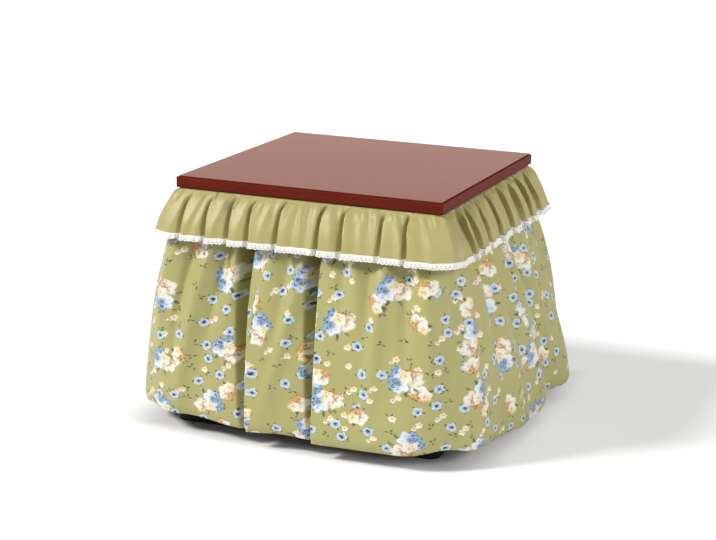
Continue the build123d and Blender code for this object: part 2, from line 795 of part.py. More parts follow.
with BuildPart() as thermal_cutout:
    with BuildSketch(Plane.XY.offset(flange_bottom + reflector_depth)):
        Circle(cutout_radius)
    extrude(amount=cutout_height)
    fillet(thermal_cutout.edges().filter_by(GeomType.CIRCLE).sort_by(Axis.Z)[-1], cutout_round)
keep(thermal_cutout.part, "thermal_cutout")

# ---------------------------------------------------------------- control box
box_x = bar_spacing / 2
control_z = box_bottom + control_height
knob_x = box_x + knob_offset
switch_x = box_x + switch_offset
lamp_x = box_x + lamp_offset
lamp_z = box_bottom + lamp_height
box_mid_y = (box_front + box_back) / 2
neck_hole = neck_radius + panel_gap
switch_body_width = bezel_width - 2 * bezel_lip
switch_body_height = bezel_height - 2 * bezel_lip
front_plane = Plane.XZ.offset(-box_front)

with BuildPart() as control_box:
    with BuildSketch(Plane.XY.offset(box_bottom)):
        with Locations((box_x, box_mid_y)):
            Rectangle(box_width, box_depth)
    extrude(amount=box_drop)
    with BuildSketch(Plane.XY.offset(box_bottom)):
        with Locations((box_x, box_mid_y)):
            Rectangle(box_width - 2 * box_wall, box_depth - 2 * box_wall)
    extrude(amount=box_drop - box_wall, mode=Mode.SUBTRACT)
    with BuildSketch(front_plane):
        with Locations((knob_x, control_z)):
            Circle(neck_hole)
        with Locations((switch_x, control_z)):
            Rectangle(switch_body_width + 2 * panel_gap, switch_body_height + 2 * panel_gap)
        with Locations((lamp_x, lamp_z)):
            Circle(lamp_radius + panel_gap)
    extrude(amount=-box_wall, mode=Mode.SUBTRACT)
    with BuildSketch(Plane.XZ.offset(-box_back)):
        with Locations((lead_x, lead_z)):
            Circle(lead_radius + lead_gap)
    extrude(amount=box_wall, mode=Mode.SUBTRACT)
keep(control_box.part, "control_box")

# The lid closes the box from below, and the mains inlet sits in it.
with BuildPart() as control_box_lid:
    with BuildSketch(Plane.XY.offset(box_bottom)):
        with Locations((box_x, box_mid_y)):
            Rectangle(box_width, box_depth)
    extrude(amount=-lid_thickness)
    with BuildSketch(Plane.XY.offset(box_bottom)):
        with Locations((box_x, box_mid_y)):
            rim_width = box_width - 2 * box_wall - 2 * panel_gap
            rim_depth = box_depth - 2 * box_wall - 2 * panel_gap
            Rectangle(rim_width, rim_depth)
            Rectangle(rim_width - 2 * box_wall, rim_depth - 2 * box_wall, mode=Mode.SUBTRACT)
    extrude(amount=box_wall)
    with BuildSketch(Plane.XY.offset(box_bottom - lid_thickness)):
        with Locations((box_x, box_mid_y)):
            Rectangle(inlet_width + 2 * panel_gap, inlet_depth + 2 * panel_gap)
    extrude(amount=lid_thickness, mode=Mode.SUBTRACT)
keep(control_box_lid.part, "control_box_lid")

lid_bottom = box_bottom - lid_thickness
inlet_top = lid_bottom + inlet_height
with BuildPart() as inlet_socket:
    with BuildSketch(Plane.XY.offset(lid_bottom)):
        with Locations((box_x, box_mid_y)):
            flange_width = inlet_width + 2 * inlet_flange
            RectangleRounded(flange_width, inlet_depth + 2 * inlet_flange, inlet_flange)
    extrude(amount=-box_wall)
    with BuildSketch(Plane.XY.offset(lid_bottom)):
        with Locations((box_x, box_mid_y)):
            Rectangle(inlet_width, inlet_depth)
    extrude(amount=inlet_height)
    with BuildSketch(Plane.XY.offset(lid_bottom - box_wall)):
        with Locations((box_x, box_mid_y)):
            Rectangle(inlet_width - 2 * inlet_wall, inlet_depth - 2 * inlet_wall)
    extrude(amount=inlet_height + box_wall - inlet_wall, mode=Mode.SUBTRACT)
keep(inlet_socket.part, "inlet_socket")

with BuildPart() as inlet_pins:
    with BuildSketch(Plane.XY.offset(inlet_top - inlet_wall)):
        with Locations((box_x, box_mid_y)):
            with GridLocations(inlet_pin_spacing, 0, 2, 1):
                Circle(inlet_pin_radius)
    extrude(amount=-inlet_pin_length)
    fillet(inlet_pins.edges().group_by(Axis.Z)[0], inlet_pin_radius / 2)
keep(inlet_pins.part, "inlet_pins")

with BuildPart() as pilot_lamp:
    with BuildSketch(Plane.XZ.offset(-box_front - box_wall)):
        with Locations((lamp_x, lamp_z)):
            Circle(lamp_radius)
    extrude(amount=lamp_length - box_wall)
    fillet(pilot_lamp.edges().sort_by(Axis.Y)[0], lamp_radius / 2)
    with BuildSketch(Plane.XZ.offset(-box_front - box_wall)):
        with Locations((lamp_x, lamp_z)):
            Circle(lamp_radius + box_wall)
    extrude(amount=-box_wall)
keep(pilot_lamp.part, "pilot_lamp")

# Thermostat: body and neck fixed in the box, shaft and knob turning together.
neck_front = box_front - neck_length
knob_back = neck_front - knob_gap
shaft_back = neck_front - knob_gap - knob_depth / 2 + shaft_length

with BuildPart() as thermostat_body:
    with BuildSketch(Plane.XZ.offset(-box_front - box_wall)):
        with Locations((knob_x, control_z)):
            Rectangle(thermostat_size, thermostat_size)
    extrude(amount=-thermostat_depth)
    with BuildSketch(Plane.XZ.offset(-box_front - box_wall)):
        with Locations((knob_x, control_z)):
            Circle(neck_radius)
    extrude(amount=box_wall + neck_length)
    with BuildSketch(Plane.XZ.offset(-neck_front)):
        with Locations((knob_x, control_z)):
            Circle(shaft_radius + shaft_fit)
    extrude(amount=-(shaft_back - neck_front + rest_gap), mode=Mode.SUBTRACT)
keep(thermostat_body.part, "thermostat_body")

with BuildPart() as thermostat_shaft:
    with BuildSketch(Plane.XZ.offset(-shaft_back)):
        with Locations((knob_x, control_z)):
            Circle(shaft_radius)
    extrude(amount=shaft_length)
keep(thermostat_shaft.part, "thermostat_shaft")

with BuildPart() as thermostat_knob:
    with BuildSketch(Plane.XZ.offset(-knob_back)):
        with Locations((knob_x, control_z)):
            Circle(knob_radius)
            with PolarLocations(knob_radius, knob_flutes):
                Circle(knob_flute_radius, mode=Mode.SUBTRACT)
    extrude(amount=knob_depth)
    with BuildSketch(Plane.XZ.offset(-knob_back + knob_depth)):
        with Locations((knob_x, control_z + knob_radius / 2)):
            Rectangle(pointer_width, pointer_length)
    extrude(amount=pointer_height)
    with BuildSketch(Plane.XZ.offset(-knob_back)):
        with Locations((knob_x, control_z)):
            Circle(shaft_radius + shaft_fit)
    extrude(amount=knob_depth / 2, mode=Mode.SUBTRACT)
keep(thermostat_knob.part, "thermostat_knob")

# Power switch: a rocker on two short pins, in a bezel.
pocket_half_height = rocker_radius + rocker_clearance
pocket_half_width = rocker_width / 2 + rocker_clearance
pocket_depth = rocker_back + rocker_radius * sin(radians(rocker_tilt)) + 2 * rocker_clearance
pin_hole_reach = rocker_width / 2 + rocker_pin_length + rocker_clearance
pivot_y = box_front

with BuildPart() as switch_body:
    with BuildSketch(front_plane):
        with Locations((switch_x, control_z)):
            Rectangle(bezel_width, bezel_height)
    extrude(amount=bezel_thickness)
    with BuildSketch(front_plane):
        with Locations((switch_x, control_z)):
            Rectangle(switch_body_width, switch_body_height)
    extrude(amount=-switch_body_depth)
    with BuildSketch(Plane.XZ.offset(-box_front + bezel_thickness)):
        with Locations((switch_x, control_z)):
            Rectangle(2 * pocket_half_width, 2 * pocket_half_height)
    extrude(amount=-(bezel_thickness + pocket_depth), mode=Mode.SUBTRACT)
    with BuildSketch(Plane.YZ.offset(switch_x)):
        with Locations((pivot_y, control_z)):
            Circle(rocker_pin_radius + shaft_fit)
    extrude(amount=pin_hole_reach, both=True, mode=Mode.SUBTRACT)
keep(switch_body.part, "switch_body")

# The rocker rests with its upper half pressed in, which is off.
ridge = rocker_front
side_fall = rocker_radius * tan(radians(rocker_tilt))
with BuildPart() as power_rocker:
    with BuildSketch(Plane.YZ.offset(switch_x)):
        with Locations(Location((pivot_y, control_z), -rocker_tilt)):
            Circle(rocker_radius)
            Polygon(
                (rocker_back, -rocker_radius), (rocker_back, rocker_radius),
                (-ridge - side_fall, rocker_radius), (-ridge, 0), (-ridge - side_fall, -rocker_radius),
                align=None, mode=Mode.INTERSECT,
            )
    extrude(amount=rocker_width / 2, both=True)
    with BuildSketch(Plane.YZ.offset(switch_x)):
        with Locations((pivot_y, control_z)):
            Circle(rocker_pin_radius)
    extrude(amount=rocker_width / 2 + rocker_pin_length, both=True)
keep(power_rocker.part, "power_rocker")

# Lead from the box to the heater, held to the bar by two clips.
lead_start = box_back - lead_tail
lead_end = -half_heater + lead_tail
with BuildPart() as heater_lead:
    with BuildSketch(Plane.XZ.offset(-lead_start)):
        with Locations((lead_x, lead_z)):
            Circle(lead_radius)
    extrude(amount=-(lead_end - lead_start))
keep(heater_lead.part, "heater_lead")

clip_mid_y = (box_back - half_heater) / 2
clip_drop = lead_drop + lead_radius + lead_gap + heater_wall
with BuildPart() as lead_clips:
    with BuildSketch(Plane.XY.offset(bar_underside)):
        with Locations((lead_x, clip_mid_y - clip_spacing / 2), (lead_x, clip_mid_y + clip_spacing / 2)):
            Rectangle(clip_width, clip_length)
    extrude(amount=-clip_drop)
    with BuildSketch(Plane.XZ.offset(-lead_start)):
        with Locations((lead_x, lead_z)):
            Circle(lead_radius + lead_gap)
    extrude(amount=-(lead_end - lead_start), mode=Mode.SUBTRACT)
keep(lead_clips.part, "lead_clips")
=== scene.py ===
import math

import bmesh
import bpy
import numpy as np
from mathutils import Matrix, Vector
from mathutils.geometry import delaunay_2d_cdt


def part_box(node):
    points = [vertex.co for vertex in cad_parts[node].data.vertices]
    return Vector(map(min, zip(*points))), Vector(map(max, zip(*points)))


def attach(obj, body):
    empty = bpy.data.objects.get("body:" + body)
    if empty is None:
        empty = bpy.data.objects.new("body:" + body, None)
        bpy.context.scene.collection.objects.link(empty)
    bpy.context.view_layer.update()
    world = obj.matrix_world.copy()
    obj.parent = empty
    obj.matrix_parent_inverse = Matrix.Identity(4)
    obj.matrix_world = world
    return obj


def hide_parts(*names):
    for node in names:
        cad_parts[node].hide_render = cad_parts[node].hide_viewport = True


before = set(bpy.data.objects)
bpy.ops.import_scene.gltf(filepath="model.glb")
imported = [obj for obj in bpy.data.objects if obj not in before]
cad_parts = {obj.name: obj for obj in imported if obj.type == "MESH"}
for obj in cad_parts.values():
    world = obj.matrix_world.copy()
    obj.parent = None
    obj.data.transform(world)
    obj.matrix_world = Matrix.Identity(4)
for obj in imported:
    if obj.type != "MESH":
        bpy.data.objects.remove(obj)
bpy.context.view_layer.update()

# Metres. The origin is on the floor under the table's centre, +Z is up, and -Y is the front.
SIDES = ("front", "right", "back", "left")
SHEET_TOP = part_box("cover_top_sheet")[1].z
SHEET_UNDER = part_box("cover_top_sheet")[0].z
SHEET_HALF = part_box("cover_top_sheet")[1].x

# The photograph's view, fitted to the corners of the top and to the feet. Angles in degrees.
CAMERA_PLACE = (1.9314, -4.7308, 1.7285)
CAMERA_YAW = -22.25
CAMERA_PITCH = 14.547
CAMERA_ROLL = 1.046
CAMERA_LENS = 88.87
SENSOR_WIDTH = 36
CLIP_END = 60

# name, power, size in degrees, colour, direction of the light
SUNS = [
    ("key", 2.95, 14, (1, 0.985, 0.96), (0.70, 0.50, -0.70)),
    ("fill", 1.6, 26, (1, 0.985, 0.96), (-0.86, 0.18, -0.48)),
]
WORLD_COLOUR = (0.97, 0.98, 1, 1)
WORLD_LIGHT = 0.25

# Gloss sees a warm low wall all round and a dark room above it.
# The wall's top and its soft border are heights on a sphere of radius 1.
WALL_COLOUR = (1, 0.70, 0.62, 1)
WALL_TOP = 0.235
WALL_SOFT = 0.03
WALL_LIGHT = 0.96
ROOM_LIGHT = 0.05

FLOOR_REACH = 14.0
FLOOR_CELLS = 24
# The camera sees the floor lighter away from the table: from where, how fast it grows with each
# metre, and how much it is. The shadow close to the hem stays dark.
GLOW_FROM = 0.44
GLOW_RISE = 7.0
GLOW_LIGHT = 0.27


# ---------------------------------------------------------------- nodes
class Expr:
    """One number on a node tree, with ordinary arithmetic."""

    def __init__(self, tree, socket):
        self.tree, self.socket = tree, socket

    def op(self, kind, *others, clamp=False):
        node = self.tree.nodes.new("ShaderNodeMath")
        node.operation = kind
        node.use_clamp = clamp
        for slot, value in zip(node.inputs, (self,) + others):
            if isinstance(value, Expr):
                self.tree.links.new(value.socket, slot)
            else:
                slot.default_value = float(value)
        return Expr(self.tree, node.outputs[0])

    def __add__(self, b): return self.op("ADD", b)
    def __sub__(self, b): return self.op("SUBTRACT", b)
    def __rsub__(self, b): return (self * -1) + b
    def __mul__(self, b): return self.op("MULTIPLY", b)
    def __truediv__(self, b): return self.op("DIVIDE", b)
    def floor(self): return self.op("FLOOR")
    def sin(self): return self.op("SINE")
    def cos(self): return self.op("COSINE")
    def abs(self): return self.op("ABSOLUTE")
    def root(self): return self.op("SQRT")
    def max(self, b): return self.op("MAXIMUM", b)
    def over(self, b): return self.op("GREATER_THAN", b)
    def angle(self, x): return self.op("ARCTAN2", x)
    def clamp(self): return self.op("ADD", 0, clamp=True)

    def fall(self, edge, soft):
        """1 inside the edge, 0 outside, with a soft border."""
        return ((edge - self) / soft + 0.5).clamp()


class Nodes:
    """Short calls for the nodes of one tree."""

    def __init__(self, tree):
        self.tree = tree

    def node(self, kind, **settings):
        node = self.tree.nodes.new(kind)
        for key, value in settings.items():
            setattr(node, key, value)
        return node

    def feed(self, slot, value):
        """Gives a slot an expression, another node's socket, or a fixed value."""
        if isinstance(value, Expr):
            value = value.socket
        if isinstance(value, bpy.types.NodeSocket):
            self.tree.links.new(value, slot)
        else:
            slot.default_value = value

    def vector(self, x, y, z):
        node = self.node("ShaderNodeCombineXYZ")
        for slot, value in zip(node.inputs, (x, y, z)):
            self.feed(slot, value)
        return node.outputs[0]

    def split(self, vector):
        node = self.node("ShaderNodeSeparateXYZ")
        self.feed(node.inputs[0], vector)
        return [Expr(self.tree, socket) for socket in node.outputs]

    def place(self, kind="Object"):
        """Object coordinates, or the cloth's own UV in metres."""
        return self.node("ShaderNodeTexCoord").outputs[kind]

    def is_ray(self, kind):
        return Expr(self.tree, self.node("ShaderNodeLightPath").outputs[f"Is {kind} Ray"])

    def noise(self, vector, scale, detail=3, rough=0.5, stretch=None, kind="Fac"):
        """Noise from 0 to 1, drawn out where an axis of stretch is less than the others."""
        if stretch:
            mapping = self.node("ShaderNodeMapping")
            self.feed(mapping.inputs["Vector"], vector)
            mapping.inputs["Scale"].default_value = stretch
            vector = mapping.outputs[0]
        node = self.node("ShaderNodeTexNoise")
        self.feed(node.inputs["Vector"], vector)
        node.inputs["Scale"].default_value = scale
        node.inputs["Detail"].default_value = detail
        node.inputs["Roughness"].default_value = rough
        return Expr(self.tree, node.outputs[kind])

    def mix(self, amount, a, b):
        node = self.node("ShaderNodeMix", data_type="RGBA")
        for key, value in (("Factor", amount), ("A", a), ("B", b)):
            self.feed(node.inputs[key], value)
        return node.outputs["Result"]

    def bump(self, height, strength, distance, under=None):
        """A bumped normal, over another one where there is one."""
        node = self.node("ShaderNodeBump")
        self.feed(node.inputs["Height"], height)
        node.inputs["Strength"].default_value = strength
        node.inputs["Distance"].default_value = distance
        if under is not None:
            self.feed(node.inputs["Normal"], under)
        return node.outputs[0]


class Paint(Nodes):
    """A material with its surface shader."""

    def __init__(self, name):
        self.material = bpy.data.materials.new(name)
        self.material.use_nodes = True
        super().__init__(self.material.node_tree)
        self.shader = self.tree.nodes["Principled BSDF"]

    def set(self, **values):
        """Sets the shader's inputs by name, with _ for a space."""
        for key, value in values.items():
            self.feed(self.shader.inputs[key.replace("_", " ")], value)


def rgb(r, g, b):
    """A screen colour of 0 to 255 as the linear colour that the shader takes."""
    def linear(c):
        c = c / 255
        return c / 12.92 if c <= 0.04045 else ((c + 0.055) / 1.055) ** 2.4
    return (linear(r), linear(g), linear(b), 1)


# ---------------------------------------------------------------- camera, light and floor
def add_object(name, data):
    """A new object in the scene."""
    added = bpy.data.objects.new(name, data)
    bpy.context.scene.collection.objects.link(added)
    return added


def make_camera():
    """The photograph's view: place, direction, roll and focal length."""
    yaw, pitch, roll = (math.radians(a) for a in (CAMERA_YAW, CAMERA_PITCH, CAMERA_ROLL))
    forward = Vector((math.sin(yaw) * math.cos(pitch), math.cos(yaw) * math.cos(pitch),
                      -math.sin(pitch)))
    right = Vector((math.cos(yaw), -math.sin(yaw), 0))
    up = right.cross(forward)
    right_rolled = math.cos(roll) * right + math.sin(roll) * up
    up_rolled = -math.sin(roll) * right + math.cos(roll) * up
    data = bpy.data.cameras.new("camera")
    data.sensor_width = SENSOR_WIDTH
    data.lens = CAMERA_LENS
    data.clip_end = CLIP_END
    camera = add_object("camera", data)
    turn = Matrix((right_rolled, up_rolled, -forward)).transposed().to_4x4()
    camera.matrix_world = Matrix.Translation(CAMERA_PLACE) @ turn
    bpy.context.scene.camera = camera


def make_world():
    """Even light on the object, the wall for gloss, and white where the camera sees no floor."""
    world = bpy.data.worlds.new("studio")
    bpy.context.scene.world = world
    world.use_nodes = True
    nodes = Nodes(world.node_tree)
    nodes.tree.nodes.clear()

    def light(colour, strength):
        background = nodes.node("ShaderNodeBackground")
        nodes.feed(background.inputs["Color"], colour)
        nodes.feed(background.inputs["Strength"], strength)
        return background.outputs[0]

    _, _, height = nodes.split(nodes.place("Generated"))
    wall = height.fall(WALL_TOP, WALL_SOFT)
    gloss = light(WALL_COLOUR, wall * (WALL_LIGHT - ROOM_LIGHT) + ROOM_LIGHT)
    shader = light(WORLD_COLOUR, WORLD_LIGHT)
    for ray, seen in (("Glossy", gloss), ("Camera", light((1, 1, 1, 1), 1.0))):
        mix = nodes.node("ShaderNodeMixShader")
        for slot, value in zip(mix.inputs, (nodes.is_ray(ray), shader, seen)):
            nodes.feed(slot, value)
        shader = mix.outputs[0]
    nodes.feed(nodes.node("ShaderNodeOutputWorld").inputs["Surface"], shader)


def make_lamps():
    """The soft key light and the fill."""
    for name, power, size, colour, aim in SUNS:
        sun = bpy.data.lights.new(name, "SUN")
        sun.energy = power
        sun.angle = math.radians(size)
        sun.color = colour
        lamp = add_object(name, sun)
        lamp.rotation_euler = Vector(aim).to_track_quat("-Z", "Y").to_euler()


def floor_paint():
    """A plain pale floor that keeps the table's shadow."""
    p = Paint("studio_floor")
    tint = p.noise(p.place(), scale=0.6, detail=2)
    x, y, _ = p.split(p.place())
    clear = ((x.abs().max(y.abs()) - GLOW_FROM) * GLOW_RISE).clamp()
    p.set(Base_Color=p.mix(tint, (0.88, 0.88, 0.885, 1), (0.91, 0.91, 0.915, 1)), Roughness=0.8,
          Specular_IOR_Level=0.2, Emission_Color=(1, 1, 1, 1),
          Emission_Strength=p.is_ray("Camera") * clear * GLOW_LIGHT)
    return p.material


def make_floor():
    """A wide grid at the height of the feet."""
    mesh = bpy.data.meshes.new("floor")
    n = FLOOR_CELLS
    grid = np.linspace(-FLOOR_REACH, FLOOR_REACH, n + 1)
    points = [(x, y, 0.0) for y in grid for x in grid]
    faces = [(first, first + 1, first + n + 2, first + n + 1)
             for first in (j * (n + 1) + i for j in range(n) for i in range(n))]
    mesh.from_pydata(points, [], faces)
    floor = add_object("floor", mesh)
    mesh.materials.append(floor_paint())


# ---------------------------------------------------------------- materials
def lacquer(name, along):
    """Red-brown lacquered wood with its grain along one axis, x or y."""
    p = Paint(name)
    x, y, z = p.split(p.place())
    run, across = (x, y) if along == "x" else (y, x)

    def grain(length, width, scale, detail, rough):
        """Noise that is drawn out along the grain."""
        return p.noise(p.vector(run * length, across * width, z * width), scale, detail, rough)

    broad = grain(length=0.8, width=5, scale=2.2, detail=3, rough=0.5)
    fine = grain(length=1, width=14, scale=9, detail=6, rough=0.62)
    pores = grain(length=12, width=420, scale=1, detail=2, rough=0.6)
    tone = (broad * 0.55 + fine * 0.75 - 0.28).clamp()
    wood = p.mix(tone, rgb(88, 27, 17), rgb(126, 44, 29))
    dark = ((pores - 0.62) * 5.0).clamp() * 0.35
    wave = p.bump(p.noise(p.place(), scale=7, detail=2), strength=0.12, distance=0.0005)
    # The coat is weaker on upright faces than on the top, so they reflect less of the bright wall:
    # painted shade on the upright faces.
    _, _, up = p.split(p.node("ShaderNodeNewGeometry").outputs["Normal"])
    p.set(Base_Color=p.mix(dark, wood, rgb(60, 15, 9)), Roughness=0.5, Specular_IOR_Level=0.02,
          Coat_Weight=up.clamp() * 0.85 + 0.15, Coat_IOR=1.32, Coat_Roughness=0.04,
          Normal=p.bump(pores, strength=0.1, distance=0.0002, under=wave), Coat_Normal=wave)
    return p.material


def weave(p, at, pitch=0.00055, strength=0.25):
    """Plain weave bump from the cloth's own coordinates."""
    u, v, _ = p.split(at)
    warp = (u * (math.pi / pitch)).sin().abs()
    weft = (v * (math.pi / pitch)).sin().abs()
    slub = p.noise(at, scale=900, detail=2, stretch=(1, 0.12, 1))
    crumple = p.bump(p.noise(at, scale=26, rough=0.55), strength=0.22, distance=0.004)
    return p.bump(warp * weft * 0.7 + slub * 0.6, strength, 0.0004, crumple)


def cloth(p, at, colour, rough, sheen, **threads):
    """Woven cloth: its colour, roughness, sheen and threads."""
    p.set(Base_Color=colour, Roughness=rough, Sheen_Weight=sheen, Sheen_Roughness=0.4,
          Specular_IOR_Level=0.5, Normal=weave(p, at, **threads))
    return p.material


def green_cloth():
    """Plain sage green flounce cloth, a little shiny."""
    p = Paint("green_fabric")
    at = p.place("UV")
    colour = p.mix(p.noise(at, scale=18, detail=4), rgb(171, 163, 104), rgb(183, 175, 116))
    thread = p.noise(at, scale=1400, detail=1, stretch=(1, 0.06, 1))
    return cloth(p, at, p.mix(thread * 0.16, colour, rgb(164, 158, 96)), rough=0.40, sheen=0.25)


def tape_cloth():
    """Unbleached tape with coarse threads."""
    p = Paint("tape_fabric")
    at = p.place("UV")
    colour = p.mix(p.noise(at, scale=60), rgb(206, 201, 178), rgb(222, 217, 196))
    return cloth(p, at, colour, rough=0.8, sheen=0.15, pitch=0.0008, strength=0.4)


def lace_thread():
    """White crochet thread."""
    p = Paint("lace_fabric")
    loops = p.noise(p.place(), scale=900, detail=2)
    p.set(Base_Color=p.mix(loops, rgb(242, 241, 237), rgb(255, 254, 251)), Roughness=0.8,
          Sheen_Weight=0.2, Normal=p.bump(loops, strength=0.6, distance=0.0008))
    return p.material


FULL_TURN = 6.283


class Print:
    """Motifs that are scattered on the cloth's own coordinates and painted over each other."""
    FINE_WOBBLE = 0.0065
    WIDE_WOBBLE = 0.010

    def __init__(self, paint, at, ground):
        self.p = paint
        self.colour = ground
        self.grit = paint.noise(at, scale=430, rough=0.6)
        self.brush = paint.noise(at, scale=150, detail=2)
        fine = paint.noise(at, scale=210, detail=2, rough=0.6, kind="Color")
        wide = paint.noise(at, scale=70, detail=1, kind="Color")
        fine_u, fine_v, _ = paint.split(fine)
        wide_u, wide_v, _ = paint.split(wide)
        u, v, _ = paint.split(at)
        self.u = u + (fine_u - 0.5) * self.FINE_WOBBLE + (wide_u - 0.5) * self.WIDE_WOBBLE
        self.v = v + (fine_v - 0.5) * self.FINE_WOBBLE + (wide_v - 0.5) * self.WIDE_WOBBLE

    def cells(self, size, jitter, seed):
        """Local metres, a turn and a chance in each cell of a half-drop repeat.

        The seed shifts the cells and throws other dice.
        """
        p = self.p
        across = self.u / size + seed * 0.37
        column = across.floor()
        drop = column * 0.5 - (column * 0.5).floor()
        down = self.v / size + seed * 0.61 + drop
        row = down.floor()
        dice = p.node("ShaderNodeTexWhiteNoise", noise_dimensions="3D")
        p.feed(dice.inputs["Vector"], p.vector(column, row, seed * 1.73))
        aside, below, spin = p.split(dice.outputs["Color"])
        x = (across - column - 0.5 - (aside - 0.5) * jitter) * size
        y = (down - row - 0.5 - (below - 0.5) * jitter) * size
        return x, y, spin, Expr(p.tree, dice.outputs["Value"])

    @staticmethod
    def turn(x, y, angle):
        """The place (x, y) in axes that are turned by an angle in radians."""
        c, s = angle.cos(), angle.sin()
        return x * c + y * s, y * c - x * s

    def layer(self, mask, colour):
        """Paints a colour over the print where the mask is 1."""
        self.colour = self.p.mix(mask, self.colour, colour)

    def rose(self, x, y, size, seed, colours, show, lobes=5):
        """A painted rose: ragged petals, pale on one side and dark on the other, with strokes."""
        light, mid, deep = colours
        r = (x * x + y * y).root() / size
        petal = (y.angle(x) * (lobes / 2) + seed).sin().abs()
        mask = r.fall(petal * 0.26 + self.grit * 0.55 + 0.46, 0.09) * show
        side = ((y / size) * 1.5 + (self.grit - 0.5) * 3.4 + 0.42 + (petal - 0.5) * 0.5).clamp()
        stroke = (r * 13.0 - petal * 4.0 + self.brush * 9.0 + seed).sin()
        line = ((stroke - 0.45) * 3.0).clamp() * (side * 0.75 + 0.16)
        heart = ((0.34 - r + (self.grit - 0.5) * 0.5) * 5.0).clamp() * (side * 0.5 + 0.45)
        tint = self.p.mix(side, light, mid)
        self.layer(mask, self.p.mix(line.max(heart).clamp(), tint, deep))

    def leaf(self, x, y, angle, start, length, width, colour, show):
        """One pointed leaf that grows outwards from (0, 0)."""
        a, b = math.cos(angle), math.sin(angle)
        along = (x * a + y * b - start) / length
        across = (y * a - x * b) / width
        shape = (along * (1 - along)).max(0) * 4.0
        mask = across.abs().fall(shape * 0.5 - 0.13, 0.22) * show
        self.layer(mask * 0.9, colour)

    def small_flower(self, x, y, petals, flecks, eye, show):
        """Five pale petals with darker flecks round a dark eye."""
        r = (x * x + y * y).root()
        theta = y.angle(x)
        edge = (theta * 2.5).sin().abs().root() * 0.0042 + 0.0088 + self.grit * 0.002
        self.layer(r.fall(edge, 0.0016) * show, petals)
        streak = ((theta * 15.0).sin() * 0.5 + 0.5) * 0.6 + 0.2
        self.layer(r.fall(edge * 0.62, 0.0024) * show * streak, flecks)
        self.layer(r.fall(0.0040, 0.0012) * show, eye)


def print_cloth():
    """Sage green cloth with a scattered print of roses, small blue flowers and blossoms."""
    p = Paint("print_fabric")
    at = p.place("UV")
    ground = p.mix(p.noise(at, scale=12), rgb(168, 165, 106), rgb(177, 173, 112))
    pr = Print(p, at, ground)

    white, cream = rgb(240, 238, 224), rgb(236, 224, 184)
    peach, rust = rgb(212, 162, 92), rgb(132, 84, 42)
    sky, blue, navy = rgb(226, 236, 244), rgb(138, 170, 208), rgb(34, 50, 92)
    dark_leaf, pale_leaf = rgb(62, 84, 58), rgb(100, 122, 92)
    soft_rose, warm_rose = (white, cream, peach), (white, peach, rust)
    blue_rose = (sky, blue, navy)

    # small sprigs
    x, y, spin, chance = pr.cells(size=0.052, jitter=0.9, seed=3.0)
    x, y = pr.turn(x, y, spin * FULL_TURN)
    show = chance.over(0.42)
    for angle in (0.3, 1.5, 3.6):
        pr.leaf(x, y, angle, start=0.001, length=0.013, width=0.006, colour=dark_leaf, show=show)

    # cream blossoms, some of them in pairs
    x, y, _, chance = pr.cells(size=0.058, jitter=0.8, seed=7.0)
    pr.rose(x, y, size=0.010, seed=1.3, colours=soft_rose, show=chance.over(0.42))
    pr.rose(x + 0.013, y + 0.010, size=0.008, seed=2.1, colours=(white, cream, rust),
            show=chance.over(0.66))

    # small blue flowers
    x, y, spin, chance = pr.cells(size=0.068, jitter=0.72, seed=11.0)
    x, y = pr.turn(x, y, spin * FULL_TURN)
    show = chance.over(0.22)
    for angle in (0.7, 2.9, 4.6):
        pr.leaf(x, y, angle, start=0.007, length=0.014, width=0.0075, colour=dark_leaf, show=show)
    petals = p.mix(pr.grit, sky, rgb(168, 194, 220))
    pr.small_flower(x, y, petals, rgb(92, 128, 182), navy, show)

    # single cream roses
    x, y, spin, chance = pr.cells(size=0.150, jitter=0.55, seed=5.0)
    x, y = pr.turn(x, y, spin * FULL_TURN)
    show = chance.over(0.30)
    for angle in (0.4, 2.2, 3.4, 5.4):
        pr.leaf(x, y, angle, start=0.014, length=0.020, width=0.010, colour=dark_leaf, show=show)
    pr.rose(x - 0.004, y, size=0.027, seed=0.6, colours=warm_rose, show=show)
    pr.rose(x + 0.012, y - 0.008, size=0.018, seed=2.6, colours=soft_rose, show=show)

    # bouquets: two blue roses and two cream roses among leaves
    x, y, spin, chance = pr.cells(size=0.186, jitter=0.42, seed=1.0)
    x, y = pr.turn(x, y, (spin - 0.5) * 4.6)
    show = chance.over(0.12)
    for angle, start, colour in (
            (0.2, 0.024, pale_leaf), (1.1, 0.026, dark_leaf), (1.9, 0.024, pale_leaf),
            (2.8, 0.028, dark_leaf), (3.7, 0.026, dark_leaf), (4.5, 0.024, pale_leaf),
            (5.3, 0.026, dark_leaf), (5.9, 0.022, pale_leaf)):
        pr.leaf(x, y, angle, start, length=0.024, width=0.011, colour=colour, show=show)
    pr.rose(x + 0.018, y - 0.010, size=0.030, seed=0.0, colours=blue_rose, show=show, lobes=6)
    pr.rose(x - 0.006, y - 0.030, size=0.018, seed=4.0, colours=blue_rose, show=show)
    pr.rose(x - 0.018, y + 0.012, size=0.029, seed=2.0, colours=warm_rose, show=show)
    pr.rose(x - 0.010, y - 0.006, size=0.019, seed=5.0, colours=soft_rose, show=show)

    return cloth(p, at, pr.colour, rough=0.44, sheen=0.2)


